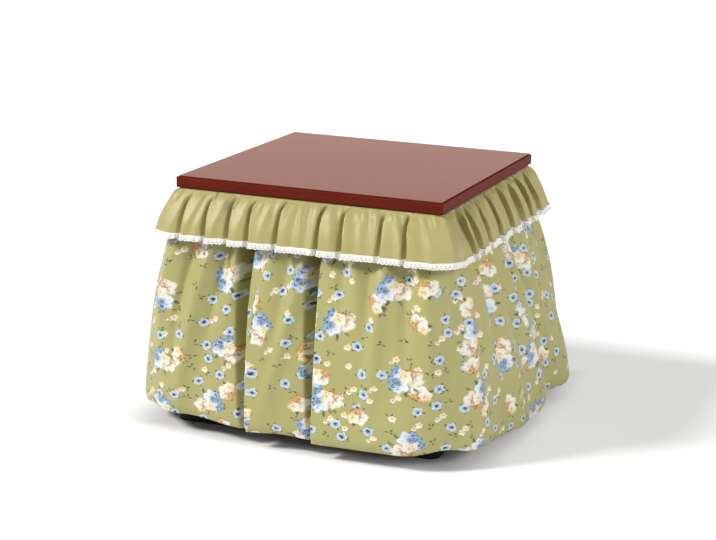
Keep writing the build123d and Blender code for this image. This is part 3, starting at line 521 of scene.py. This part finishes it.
# Screen colours, roughness, scale of the mottling and of the grain, and the grain's depth.
HARD = {
    "core_wood": dict(dark=(196, 158, 108), light=(222, 190, 142), rough=0.7, mottle=6.0,
                      grain=60.0, stretch=(1, 9, 9)),
    "backing_board": dict(dark=(136, 98, 70), light=(160, 122, 90), rough=0.75, mottle=30.0,
                          grain=300.0),
    "pad_rubber": dict(dark=(30, 30, 31), light=(48, 48, 50), rough=0.85, mottle=60.0,
                       grain=400.0, depth=0.0004, strength=0.5),
    "black_steel": dict(dark=(14, 14, 15), light=(26, 26, 28), rough=0.42, mottle=30.0,
                        grain=900.0, depth=0.0002, strength=0.35, Specular_IOR_Level=0.2),
    "black_plastic": dict(dark=(16, 16, 17), light=(30, 30, 32), rough=0.5, mottle=24.0,
                          grain=700.0, depth=0.0002, strength=0.3, Specular_IOR_Level=0.2),
    "screw_steel": dict(dark=(150, 152, 156), light=(190, 192, 196), rough=0.32, metal=1.0),
    "heater_paint": dict(dark=(44, 46, 50), light=(60, 62, 66), rough=0.5, mottle=30.0,
                         grain=800.0),
    "reflector_metal": dict(dark=(200, 203, 208), light=(224, 226, 230), rough=0.22, mottle=20.0,
                            grain=200.0, metal=1.0),
    "quartz": dict(dark=(225, 228, 226), light=(244, 246, 244), rough=0.12, mottle=30.0,
                   grain=200.0, Transmission_Weight=0.85, IOR=1.46),
    "carbon": dict(dark=(26, 25, 25), light=(52, 48, 46), rough=0.6, mottle=200.0, grain=900.0,
                   depth=0.0004, strength=0.5),
    "cap_ceramic": dict(dark=(214, 208, 196), light=(232, 227, 217), rough=0.6, grain=500.0),
    "control_plastic": dict(dark=(40, 40, 42), light=(54, 54, 57), rough=0.48, mottle=30.0,
                            grain=800.0),
    "knob_plastic": dict(dark=(28, 28, 30), light=(44, 44, 46), rough=0.4, grain=500.0),
    "rocker_plastic": dict(dark=(150, 30, 24), light=(178, 40, 32), rough=0.34, grain=500.0),
    "lamp_plastic": dict(dark=(214, 92, 40), light=(236, 116, 56), rough=0.2, mottle=60.0,
                         grain=300.0, Transmission_Weight=0.4),
    "pin_brass": dict(dark=(196, 160, 86), light=(222, 188, 116), rough=0.28, metal=1.0),
    "shaft_steel": dict(dark=(166, 168, 172), light=(196, 198, 202), rough=0.25, metal=1.0),
}


def plain(name, dark, light, rough, mottle=40.0, grain=260.0, depth=0.0003, strength=0.2,
          metal=0.0, stretch=None, **more):
    """A hard material with mottled colour, uneven roughness and a fine surface grain."""
    p = Paint(name)
    at = p.place()
    blots = p.noise(at, mottle, detail=4, rough=0.55, stretch=stretch)
    fine = p.noise(at, grain, rough=0.6, stretch=stretch)
    p.set(Base_Color=p.mix(blots, rgb(*dark), rgb(*light)), Roughness=blots * 0.16 + (rough - 0.08),
          Metallic=metal, Normal=p.bump(fine, strength, depth), **more)
    return p.material


def make_materials():
    """One material for each slot of the record, and one more for the grain along y."""
    made = {
        "lacquered_wood": lacquer("lacquered_wood", "x"),
        "lacquered_wood_side": lacquer("lacquered_wood_side", "y"),
        "print_fabric": print_cloth(),
        "green_fabric": green_cloth(),
        "lace_fabric": lace_thread(),
        "tape_fabric": tape_cloth(),
    }
    made.update((name, plain(name, **look)) for name, look in HARD.items())
    return made


# ---------------------------------------------------------------- cloth shapes
def smooth(x, a, b):
    """0 up to a, 1 from b, and a soft step between them."""
    t = np.clip((x - a) / (b - a), 0, 1)
    return t * t * (3 - 2 * t)


def bell(x, width):
    """1 at 0, with a soft fall on both sides."""
    return np.exp(-(x / width) ** 2)


def curve(z, heights, values):
    """Smooth curve through a short table, by height."""
    order = np.argsort(heights)
    h, f = np.asarray(heights)[order], np.asarray(values)[order]
    slope = np.gradient(f, h)
    i = np.clip(np.searchsorted(h, z) - 1, 0, len(h) - 2)
    dh = h[i + 1] - h[i]
    t = (z - h[i]) / dh
    t2, t3 = t * t, t * t * t
    return ((2 * t3 - 3 * t2 + 1) * f[i] + (t3 - 2 * t2 + t) * dh * slope[i]
            + (-2 * t3 + 3 * t2) * f[i + 1] + (t3 - t2) * dh * slope[i + 1])


def outline(t, half, radius):
    """Points, outward normals and side lengths of a rounded square.

    t runs from 0 to 4, one for each side, from the middle of one corner to that of the next.
    """
    t = np.mod(t, 4.0)
    side = np.floor(t).astype(int) % 4
    straight = half - radius
    eighth = radius * math.pi / 4
    length = 2 * straight + 2 * eighth
    run = (t - np.floor(t)) * length
    low = run < eighth
    high = run > length - eighth
    safe = np.maximum(radius, 1e-6)
    angle = np.where(low, np.radians(-135) + run / safe,
                     np.where(high, np.radians(-45) - (length - run) / safe, np.radians(-90)))
    centre = np.where(low, -straight, np.where(high, straight, run - eighth - straight))
    nx, ny = np.cos(angle), np.sin(angle)
    x = centre + radius * nx
    y = -straight + radius * ny
    turn = side * (math.pi / 2)
    c, s = np.cos(turn), np.sin(turn)
    return x * c - y * s, x * s + y * c, nx * c - ny * s, nx * s + ny * c, length


def share_at(side, place, half, radius):
    """The t of a place that is measured along one side from its middle."""
    samples = 2001
    grid = np.linspace(0, 1, samples)
    # Just short of 1, where the next side starts.
    x = outline(grid * 0.99999, np.full(samples, half), np.full(samples, radius))[0]
    return SIDES.index(side) + float(np.interp(place, x, grid))


class Hanging:
    """A sheet that hangs round the table: an outline for each height, and folds on it.

    t runs round the sides, and v is the share of the fall, from 0 at the top to 1 at the hem.
    """

    def __init__(self, columns, rows, table, upper=0.0):
        self.upper = upper
        self.t = np.linspace(0, 4, columns, endpoint=False)[None, :].repeat(rows + 1, 0)
        self.v = np.linspace(0, 1, rows + 1)[:, None].repeat(columns, 1)
        self.table = np.array(table)
        self.slide = np.zeros_like(self.t)
        self.push = np.zeros_like(self.t)
        self.lift = np.zeros_like(self.t)

    def at(self, v):
        """Height, half width and corner radius at a share of the fall."""
        shares, heights, halves, radii = self.table.T
        z = np.interp(v, shares, heights)
        return z, curve(z, heights, halves), curve(z, heights, radii)

    def distance(self, side, top, bottom):
        """Metres along the cloth from the line of a fold.

        The line passes one place at the upper share and one at the hem.
        """
        _, half_top, radius_top = self.at(self.upper)
        _, half_low, radius_low = self.at(1.0)
        t_top = share_at(side, top, float(half_top), float(radius_top))
        t_low = share_at(side, bottom, float(half_low), float(radius_low))
        line = t_top + (t_low - t_top) * (self.v - self.upper) / (1 - self.upper)
        gap = np.mod(self.t - line + 2.0, 4.0) - 2.0
        _, half, radius = self.at(self.v)
        return gap * (2 * (half - radius) + radius * math.pi / 2)

    def crease(self, side, top, bottom, depth, over, width, recess, lobe, deep, start, full,
               least, narrow=0.0):
        """An overlap: the cloth after the line steps out and hooks back over the cloth before it.

        A negative depth turns it round. The fold grows from the share least at start to all of it
        at full. Its recess is deep times as deep as the lobe is high, with a flat floor and a
        steep flank that ends in a soft tail, and narrows towards the hem by the share narrow.
        """
        du = self.distance(side, top, bottom)
        grow = least + (1 - least) * smooth(self.v, start, full)
        x = du / width
        self.slide += -over * grow * x * np.exp(0.5 - x * x / 2)
        far = np.abs(du)
        past = np.maximum(far - recess * (1 + narrow * (0.5 - self.v)), 0)
        flank, tail = 0.8 * recess, 2 * recess
        floor = 0.88 * (1 - smooth(past, 0, flank)) + 0.12 * np.exp(-past / tail)
        sink = deep * (1 + 0.35 * narrow * (0.5 - self.v) * smooth(self.v, 0.1, 0.3))
        fade = np.where(du * depth < 0, sink * floor, np.exp(-np.maximum(far - width, 0) / lobe))
        self.push += depth * grow * np.tanh(2.2 * x) * fade

    def ridge(self, side, top, bottom, height, width, peak, end):
        """A soft fold that swells up to the share peak and fades by end."""
        grow = smooth(self.v, RIDGE_START, peak) * (1 - smooth(self.v, peak, end))
        self.push += height * grow * bell(self.distance(side, top, bottom), width)

    def swell(self, side, place, width):
        """A broad bell round one place of the hem, leaning a little outwards on its way down."""
        return bell(self.distance(side, place * SWELL_LEAN, place), width)

    def ripple(self, pitch, height, until, seed):
        """Fine gathers along the top seam that fade downwards."""
        rng = np.random.default_rng(seed)
        # The seam has four sides of about 0.8 m.
        count = int(round(4 * 0.79 / pitch))
        centres = np.sort((np.arange(count) + rng.uniform(-0.33, 0.33, count)) * 4.0 / count)
        tall = rng.uniform(0.4, 1.0, count) * height
        reach = rng.uniform(0.5, 1.0, count) * until
        for centre, high, end in zip(centres, tall, reach):
            gap = (np.mod(self.t - centre + 2.0, 4.0) - 2.0) * 0.8
            self.push += high * bell(gap, pitch * 0.24) * (1 - smooth(self.v, 0.25 * end, end))

    def points(self):
        """The grid of the outer face, row by row from the top."""
        z, half, radius = self.at(self.v)
        length = 2 * (half - radius) + radius * math.pi / 2
        x, y, nx, ny, _ = outline(self.t + self.slide / length, half, radius)
        return np.stack([x + nx * self.push, y + ny * self.push, z + self.lift], -1)


def unit(vectors):
    """The same directions with length 1."""
    return vectors / np.linalg.norm(vectors, axis=-1, keepdims=True)


def surface_normals(points):
    """Outward normals of a grid that closes on itself from left to right."""
    along = np.roll(points, -1, 1) - np.roll(points, 1, 1)
    down = np.gradient(points, axis=0)
    normal = np.cross(down, along)
    normal /= np.linalg.norm(normal, axis=-1, keepdims=True) + 1e-12
    return normal


def run_along(loop):
    """Metres from the first point of a closed loop to each point, and back to the first."""
    step = np.linalg.norm(np.roll(loop, -1, 0) - loop, axis=1)
    return np.concatenate([[0], np.cumsum(step)])


def shade_smooth(mesh):
    mesh.polygons.foreach_set("use_smooth", np.ones(len(mesh.polygons), bool))


def closed_cloth(name, points, thickness, flat_width, flat_length):
    """A closed mesh of two layers from the outer grid, with rounded edges and UVs in metres."""
    rows, columns = points.shape[:2]
    normal = surface_normals(points)
    down = unit(np.gradient(points, axis=0))
    half = thickness / 2
    inner = points - normal * thickness
    # cosine and sine round the lower edge
    lip_low = [points[-1] - normal[-1] * half * (1 - c) + down[-1] * half * s
               for c, s in ((0.7071, 0.7071), (0.0, 1.0), (-0.7071, 0.7071))]
    lip_high = [points[0] - normal[0] * half - down[0] * half * 0.5]
    grid = np.concatenate([points, np.array(lip_low), inner[::-1], np.array(lip_high)])

    u = run_along(points[-1])
    u *= flat_width / u[-1]
    v = np.linspace(flat_length, 0, rows)
    lip = np.array([0.001, 0.002, 0.003])
    v = np.concatenate([v, v[-1] - lip, v[::-1] - lip[-1], [v[0] + 0.002]])

    total = len(grid)
    j, i = np.meshgrid(np.arange(total), np.arange(columns), indexing="ij")
    next_j, next_i = (j + 1) % total, (i + 1) % columns
    corners = [j * columns + i, next_j * columns + i, next_j * columns + next_i,
               j * columns + next_i]
    mesh = bpy.data.meshes.new(name)
    mesh.from_pydata(grid.reshape(-1, 3).tolist(), [],
                     np.stack(corners, -1).reshape(-1, 4).tolist())
    uv = mesh.uv_layers.new(name="UVMap")
    u0, u1, v0, v1 = u[i], u[i + 1], v[j], v[next_j]
    loops = np.stack([np.stack(pair, -1) for pair in ((u0, v0), (u0, v1), (u1, v1), (u1, v0))], 2)
    uv.data.foreach_set("uv", loops.reshape(-1).astype(np.float32))
    shade_smooth(mesh)
    return add_object(name, mesh)


def finish_piece(piece, material, body):
    """Gives a piece its material and the body that it rides on."""
    piece.data.materials.append(material)
    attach(piece, body)


# ---------------------------------------------------------------- skirt
# Share of the fall, height, half width and corner radius of the skirt without its folds.
SKIRT_TABLE = [
    (0.000, SHEET_UNDER - 0.0004, SHEET_HALF - 0.004, 0.025),
    (0.043, 0.660, 0.3962, 0.034),
    (0.105, 0.620, 0.4120, 0.050),
    (0.167, 0.580, 0.4260, 0.066),
    (0.220, 0.545, 0.4370, 0.080),
    (0.340, 0.468, 0.4580, 0.108),
    (0.445, 0.400, 0.4770, 0.132),
    (0.560, 0.325, 0.4940, 0.156),
    (0.675, 0.250, 0.5080, 0.176),
    (0.787, 0.178, 0.5200, 0.192),
    (0.900, 0.104, 0.5300, 0.204),
    (1.000, 0.0465, 0.5340, 0.210),
]

# side, place under the lace, place at the hem, depth, overlap, width, reach of the recess,
# reach of the lobe, depth of the recess as a multiple
SKIRT_CREASES = [
    ("front", -0.121, -0.105, 0.015, 0.020, 0.012, 0.032, 0.090, 5.4),
    ("front", 0.079, 0.097, 0.015, 0.020, 0.012, 0.030, 0.130, 5.2),
    ("right", -0.058, 0.075, -0.020, 0.018, 0.013, 0.030, 0.150, 2.3),
    ("right", 0.245, 0.300, -0.016, 0.016, 0.013, 0.028, 0.100, 2.4),
    ("back", -0.250, -0.270, 0.015, 0.018, 0.013, 0.028, 0.110, 3.4),
    ("back", -0.020, -0.035, 0.014, 0.018, 0.013, 0.028, 0.110, 3.4),
    ("back", 0.205, 0.230, 0.015, 0.018, 0.013, 0.028, 0.120, 3.4),
    ("left", -0.260, -0.290, 0.014, 0.018, 0.013, 0.028, 0.110, 3.4),
    ("left", -0.020, -0.010, 0.015, 0.018, 0.013, 0.028, 0.130, 3.4),
    ("left", 0.195, 0.215, 0.014, 0.018, 0.013, 0.028, 0.110, 3.4),
]

# side, place under the lace, place at the hem, height, width, peak, end
SKIRT_RIDGES = [
    ("front", -0.385, -0.450, 0.015, 0.024, 0.26, 0.90),
    ("front", -0.320, -0.400, -0.016, 0.018, 0.26, 0.95),
    ("front", -0.268, -0.357, 0.019, 0.024, 0.30, 1.25),
    ("front", -0.225, -0.290, -0.016, 0.018, 0.24, 0.90),
    ("front", -0.188, -0.215, 0.014, 0.018, 0.20, 0.70),
    ("front", -0.080, -0.085, 0.008, 0.018, 0.20, 0.60),
    ("front", -0.030, -0.070, -0.008, 0.018, 0.24, 0.80),
    ("front", 0.021, -0.080, 0.018, 0.022, 0.28, 1.10),
    ("front", 0.130, 0.175, -0.009, 0.016, 0.20, 0.55),
    ("front", 0.172, 0.205, 0.010, 0.017, 0.20, 0.60),
    ("front", 0.212, 0.220, -0.008, 0.016, 0.20, 0.60),
    ("front", 0.252, 0.235, 0.018, 0.024, 0.26, 1.15),
    ("front", 0.310, 0.340, -0.015, 0.022, 0.26, 0.95),
    ("front", 0.368, 0.430, 0.015, 0.024, 0.26, 1.00),
    ("right", -0.400, -0.470, -0.008, 0.022, 0.26, 0.80),
    ("right", -0.345, -0.400, 0.015, 0.024, 0.28, 1.00),
    ("right", -0.300, -0.330, -0.017, 0.018, 0.24, 0.95),
    ("right", -0.255, -0.270, 0.012, 0.020, 0.22, 0.80),
    ("right", -0.205, -0.200, -0.019, 0.018, 0.32, 1.10),
    ("right", -0.156, -0.134, 0.017, 0.024, 0.34, 1.20),
    ("right", -0.100, -0.040, -0.018, 0.020, 0.32, 1.10),
    ("right", 0.020, 0.170, 0.014, 0.022, 0.24, 0.90),
    ("right", 0.075, 0.200, -0.018, 0.018, 0.24, 0.95),
    ("right", 0.130, 0.230, 0.015, 0.022, 0.26, 1.00),
    ("right", 0.335, 0.390, 0.014, 0.022, 0.24, 0.90),
    ("back", -0.350, -0.400, 0.016, 0.024, 0.26, 1.00),
    ("back", -0.150, -0.165, 0.016, 0.024, 0.26, 1.00),
    ("back", 0.080, 0.085, 0.016, 0.024, 0.26, 1.00),
    ("back", 0.325, 0.380, 0.016, 0.024, 0.26, 1.00),
    ("left", -0.360, -0.420, 0.016, 0.024, 0.26, 1.00),
    ("left", -0.145, -0.165, 0.016, 0.024, 0.26, 1.00),
    ("left", 0.085, 0.095, 0.016, 0.024, 0.26, 1.00),
    ("left", 0.310, 0.360, 0.016, 0.024, 0.26, 1.00),
]
RIDGE_START = 0.04

# Broad swells of the hem, and where it is lifted: side, place, amount, width.
SKIRT_SWELLS = [
    ("front", -0.300, -0.030, 0.110), ("front", -0.450, -0.020, 0.080),
    ("front", -0.010, -0.014, 0.080), ("front", 0.430, -0.010, 0.070),
    ("right", -0.120, 0.026, 0.110), ("right", 0.025, 0.022, 0.070),
    ("right", 0.275, 0.032, 0.080), ("left", 0.330, -0.016, 0.140),
]
HEM_LIFTS = [
    ("front", -0.330, 0.012, 0.150), ("front", -0.020, 0.004, 0.080),
    ("front", -0.500, 0.010, 0.060), ("front", 0.465, 0.016, 0.070),
    ("right", -0.060, -0.015, 0.150), ("right", 0.150, 0.008, 0.030),
    ("left", 0.280, 0.006, 0.160), ("back", 0.000, 0.004, 0.200),
    ("left", -0.010, 0.006, 0.030),
]
SWELL_LEAN = 0.85


def make_skirt(material):
    """The printed skirt: one ring of cloth with overlapping deep folds and soft ones."""
    shape = Hanging(columns=880, rows=84, table=SKIRT_TABLE, upper=0.21)
    for crease in SKIRT_CREASES:
        shape.crease(*crease, start=0.02, full=0.17, least=0.0, narrow=1.3)
    for ridge in SKIRT_RIDGES:
        shape.ridge(*ridge)
    for side, place, amount, width in SKIRT_SWELLS:
        shape.push += amount * smooth(shape.v, 0.3, 1.0) * shape.swell(side, place, width)
    for side, place, amount, width in HEM_LIFTS:
        shape.lift += amount * smooth(shape.v, 0.6, 1.0) * shape.swell(side, place, width)
    # Under the flounce the folds only go inwards.
    room = smooth(shape.v, 0.12, 0.32)
    shape.push = np.where(shape.push > 0, shape.push * room, shape.push)
    # The hem turns in a little.
    shape.push -= 0.007 * smooth(shape.v, 0.965, 1.0)
    piece = closed_cloth("skirt_cloth", shape.points(), thickness=0.0032, flat_width=4.25,
                         flat_length=0.70)
    finish_piece(piece, material, "cover")
    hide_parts(*("skirt_" + side for side in SIDES))


# ---------------------------------------------------------------- flounce and lace
# Share of the fall, height, half width and corner radius.
FLOUNCE_TABLE = [
    (0.00, SHEET_TOP - 0.0004, SHEET_HALF + 0.0030, 0.028),
    (0.18, 0.6700, 0.4125, 0.037),
    (0.42, 0.6420, 0.4300, 0.050),
    (0.70, 0.6100, 0.4470, 0.062),
    (1.00, 0.5705, 0.4619, 0.075),
]

# side, place at the top, place at the lower edge, size of the pleat
FLOUNCE_PLEATS = [
    ("front", -0.338, -0.350, 0.7), ("front", -0.268, -0.272, 1.0), ("front", -0.198, -0.202, 0.9),
    ("front", -0.138, -0.140, 1.0), ("front", -0.050, -0.054, 1.0), ("front", 0.068, 0.068, 1.1),
    ("front", 0.134, 0.138, 1.0), ("front", 0.240, 0.248, 0.9), ("front", 0.312, 0.326, 1.1),
    ("right", -0.300, -0.306, 1.0), ("right", -0.238, -0.246, 0.9), ("right", -0.155, -0.160, 0.7),
    ("right", -0.062, -0.066, 1.0), ("right", 0.044, 0.046, 0.9), ("right", 0.130, 0.136, 0.8),
    ("right", 0.206, 0.214, 1.0), ("right", 0.290, 0.302, 0.8),
    ("back", -0.322, -0.338, 1.0), ("back", -0.232, -0.240, 0.9), ("back", -0.150, -0.156, 1.0),
    ("back", -0.072, -0.074, 0.8), ("back", 0.022, 0.022, 1.0), ("back", 0.104, 0.108, 0.9),
    ("back", 0.196, 0.204, 1.0), ("back", 0.272, 0.284, 0.8), ("back", 0.345, 0.362, 0.8),
    ("left", -0.310, -0.326, 1.0), ("left", -0.236, -0.244, 0.9), ("left", -0.140, -0.144, 1.0),
    ("left", -0.058, -0.060, 0.9), ("left", 0.030, 0.032, 1.0), ("left", 0.120, 0.126, 0.8),
    ("left", 0.196, 0.206, 1.0), ("left", 0.284, 0.298, 0.9), ("left", 0.350, 0.366, 0.7),
]


def make_flounce(material):
    """The plain flounce under the tabletop. Returns its outer grid."""
    shape = Hanging(columns=960, rows=34, table=FLOUNCE_TABLE)
    for side, top, bottom, size in FLOUNCE_PLEATS:
        shape.crease(side, top, bottom, depth=0.0110 * size, over=0.0115 * size, width=0.0064,
                     recess=0.0125, lobe=0.026, deep=1.55, start=0.0, full=0.30, least=0.40)
    shape.slide *= 1 - 0.50 * smooth(shape.v, 0.40, 1.0)
    shape.push *= 1 - 0.15 * smooth(shape.v, 0.60, 1.0)
    shape.ripple(pitch=0.0185, height=0.0080, until=0.60, seed=4)
    shape.ripple(pitch=0.0440, height=0.0105, until=2.20, seed=11)
    # The seam lies against the edge of the cover sheet, under the tabletop.
    shape.push *= smooth(shape.v, -0.02, 0.13)
    points = shape.points()
    piece = closed_cloth("flounce_cloth", points, thickness=0.0018, flat_width=4.6,
                         flat_length=0.140)
    finish_piece(piece, material, "cover")
    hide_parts(*("flounce_" + side for side in SIDES))
    return points


LACE_HEIGHT = 0.0185
LACE_PITCH = 0.0118
LACE_THICKNESS = 0.0012
# The edging starts this far above the flounce's edge, and lies this far off the cloth.
LACE_LAP = 0.0035
LACE_OFF = 0.0008
LACE_CURL = 0.0016
LACE_UNEVEN = 0.0006
# Closer points of neighbouring motifs become one.
WELD = 0.00008

# Eyelets, as shares of the motif's width and height: place, radii, and the number of corners.
EYELETS = [
    (0.25, 0.16, 0.085, 0.045, 8), (0.75, 0.16, 0.085, 0.045, 8), (0.5, 0.42, 0.13, 0.08, 10),
    (0.26, 0.68, 0.10, 0.07, 8), (0.5, 0.76, 0.09, 0.09, 8), (0.74, 0.68, 0.10, 0.07, 8),
]


def inside(point, loop):
    """Whether a point lies inside a closed loop."""
    hit = False
    for (x0, y0), (x1, y1) in zip(loop, loop[1:] + loop[:1]):
        if (y0 > point[1]) != (y1 > point[1]):
            if point[0] < (x1 - x0) * (point[1] - y0) / (y1 - y0) + x0:
                hit = not hit
    return hit


def lace_motif(w, h):
    """Vertices and triangles of one scallop with its eyelets, in metres: x along, y down."""
    edge = [(0, 0), (w * 0.25, 0), (w * 0.5, 0), (w * 0.75, 0), (w, 0), (w, h * 0.35),
            (w, h * 0.70)]
    steps = 14
    for k in range(1, steps):
        a = math.pi * k / steps
        picot = 1 + 0.07 * abs(math.sin(3.5 * a))
        edge.append((w * 0.5 + w * 0.5 * math.cos(a), h * 0.70 + h * 0.28 * picot * math.sin(a)))
    edge += [(0, h * 0.70), (0, h * 0.35)]
    holes = []
    for x, y, rx, ry, n in EYELETS:
        turns = [2 * math.pi * k / n for k in range(n)]
        holes.append([(w * x + w * rx * math.cos(a), h * y + h * ry * math.sin(a)) for a in turns])
    verts, edges = [], []
    for loop in [edge] + holes:
        first = len(verts)
        verts += loop
        edges += [(first + k, first + (k + 1) % len(loop)) for k in range(len(loop))]
    points, _, triangles, _, _, _ = delaunay_2d_cdt([Vector(p) for p in verts], edges, [], 0, 1e-7)
    kept = []
    for triangle in triangles:
        middle = sum((points[k] for k in triangle), Vector((0, 0))) / len(triangle)
        if inside(middle, edge) and not any(inside(middle, hole) for hole in holes):
            kept.append(tuple(triangle))
    return np.array([tuple(p) for p in points]), kept


def make_lace(material, flounce_points):
    """White crochet edging, motif by motif along the lower edge of the flounce."""
    outer = flounce_points[-1]
    down = unit(outer - flounce_points[-4])
    normal = surface_normals(flounce_points)[-1]
    arc = run_along(outer)
    count = int(round(arc[-1] / LACE_PITCH))
    pitch = arc[-1] / count
    motif, triangles = lace_motif(pitch, LACE_HEIGHT)
    a = (np.arange(count)[:, None] * pitch + motif[None, :, 0]).reshape(-1)
    b = np.tile(motif[:, 1], count)

    def along(values):
        """Vectors of the flounce's edge at each vertex of the lace."""
        ring = np.concatenate([values, values[:1]])
        return np.stack([np.interp(a, arc, ring[:, k]) for k in range(3)], -1)

    rng = np.random.default_rng(8)
    wave = np.interp(a, arc, np.concatenate([rng.normal(0, 1, len(outer)), [0]]))
    flare = np.clip(b / LACE_HEIGHT, 0, 1)
    # The scallops curl in and out, one wave for three of them.
    curl = np.sin(a * 2 * math.pi / pitch / 3.0)
    puff = LACE_CURL * curl * flare + LACE_UNEVEN * wave * flare
    front = (along(outer) + along(down) * (b - LACE_LAP)[:, None]
             + along(normal) * (LACE_OFF + puff)[:, None])

    bm = bmesh.new()
    layer = [bm.verts.new(p) for p in front]
    for k in range(count):
        for triangle in triangles:
            bm.faces.new([layer[k * len(motif) + i] for i in triangle])
    bmesh.ops.remove_doubles(bm, verts=bm.verts, dist=WELD)
    bm.normal_update()
    mesh = bpy.data.meshes.new("lace_edging")
    bm.to_mesh(mesh)
    bm.free()
    shade_smooth(mesh)
    piece = add_object("lace_edging", mesh)
    thick = piece.modifiers.new("thread", "SOLIDIFY")
    thick.thickness = LACE_THICKNESS
    thick.offset = -1
    finish_piece(piece, material, "cover")
    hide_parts("lace_trim")


# ---------------------------------------------------------------- cover sheet and heading tape
SHEET_THICKNESS = 0.0013
# How far the sheet stays inside the solid that it replaces, at the side and on top.
SHEET_INSET = 0.0012
SHEET_SINK = 0.0004
SHEET_RINGS = 22
SHEET_COLUMNS = 160


def make_cover_sheet(material):
    """The cloth that the tabletop clamps: a flat sheet of two layers with a turned edge."""
    half = SHEET_HALF - SHEET_INSET
    z = SHEET_TOP - SHEET_SINK
    n = SHEET_COLUMNS
    t = np.linspace(0, 4, n, endpoint=False)
    top = []
    for k in range(1, SHEET_RINGS + 1):
        share = k / SHEET_RINGS
        radius = max(0.004, 0.025 * share ** 3)
        x, y, _, _, _ = outline(t, np.full(n, half * share), np.full(n, radius))
        top.append(np.stack([x, y, z + 0.00025 * np.sin(x * 31) * np.cos(y * 27)], -1))
    drop = np.array([0, 0, SHEET_THICKNESS])
    loops = top + [ring - drop for ring in top[::-1]]
    centre = np.array([[0, 0, z]])
    verts = np.concatenate(loops + [centre, centre - drop])
    last = len(loops) - 1
    faces = [(j * n + i, j * n + (i + 1) % n, (j + 1) * n + (i + 1) % n, (j + 1) * n + i)
             for j in range(last) for i in range(n)]
    upper, lower = len(loops) * n, len(loops) * n + 1
    for i in range(n):
        faces.append((i, (i + 1) % n, upper))
        faces.append((last * n + (i + 1) % n, last * n + i, lower))
    mesh = bpy.data.meshes.new("cover_sheet_cloth")
    mesh.from_pydata(verts.tolist(), [], faces)
    bm = bmesh.new()
    bm.from_mesh(mesh)
    bmesh.ops.recalc_face_normals(bm, faces=bm.faces)
    uv = bm.loops.layers.uv.new("UVMap")
    for face in bm.faces:
        face.smooth = True
        for loop in face.loops:
            loop[uv].uv = (loop.vert.co.x, loop.vert.co.y)
    bm.to_mesh(mesh)
    bm.free()
    piece = add_object("cover_sheet_cloth", mesh)
    finish_piece(piece, material, "cover")
    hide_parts("cover_top_sheet")


# Share of the fall, height, half width and corner radius.
HEADING_TABLE = [
    (0.0, SHEET_UNDER - 0.0004, SHEET_HALF - 0.0085, 0.028),
    (0.5, SHEET_UNDER - 0.0120, SHEET_HALF - 0.0075, 0.030),
    (1.0, SHEET_UNDER - 0.0235, SHEET_HALF - 0.0055, 0.032),
]
HEADING_COLUMNS = 520


def make_heading(material):
    """Gathering tape, sewn inside the top of the skirt."""
    shape = Hanging(columns=HEADING_COLUMNS, rows=8, table=HEADING_TABLE)
    rng = np.random.default_rng(12)
    phase = np.cumsum(rng.uniform(0.8, 1.2, HEADING_COLUMNS))
    shape.push += 0.0006 * np.sin(phase * 0.9)
    piece = closed_cloth("heading_tape", shape.points(), thickness=0.0012, flat_width=3.2,
                         flat_length=0.024)
    finish_piece(piece, material, "cover")
    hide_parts("heading_band")


# ---------------------------------------------------------------- build
bpy.context.scene.view_settings.view_transform = "Standard"
make_camera()
materials = make_materials()
make_world()
make_lamps()
make_floor()

for node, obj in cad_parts.items():
    for held in obj.material_slots:
        slot = held.material.name.split(".")[0]
        if node in ("edge_moulding_left", "edge_moulding_right"):
            slot = "lacquered_wood_side"
        held.material = materials[slot]

make_cover_sheet(materials["green_fabric"])
make_heading(materials["tape_fabric"])
make_skirt(materials["print_fabric"])
edge_points = make_flounce(materials["green_fabric"])
make_lace(materials["lace_fabric"], edge_points)
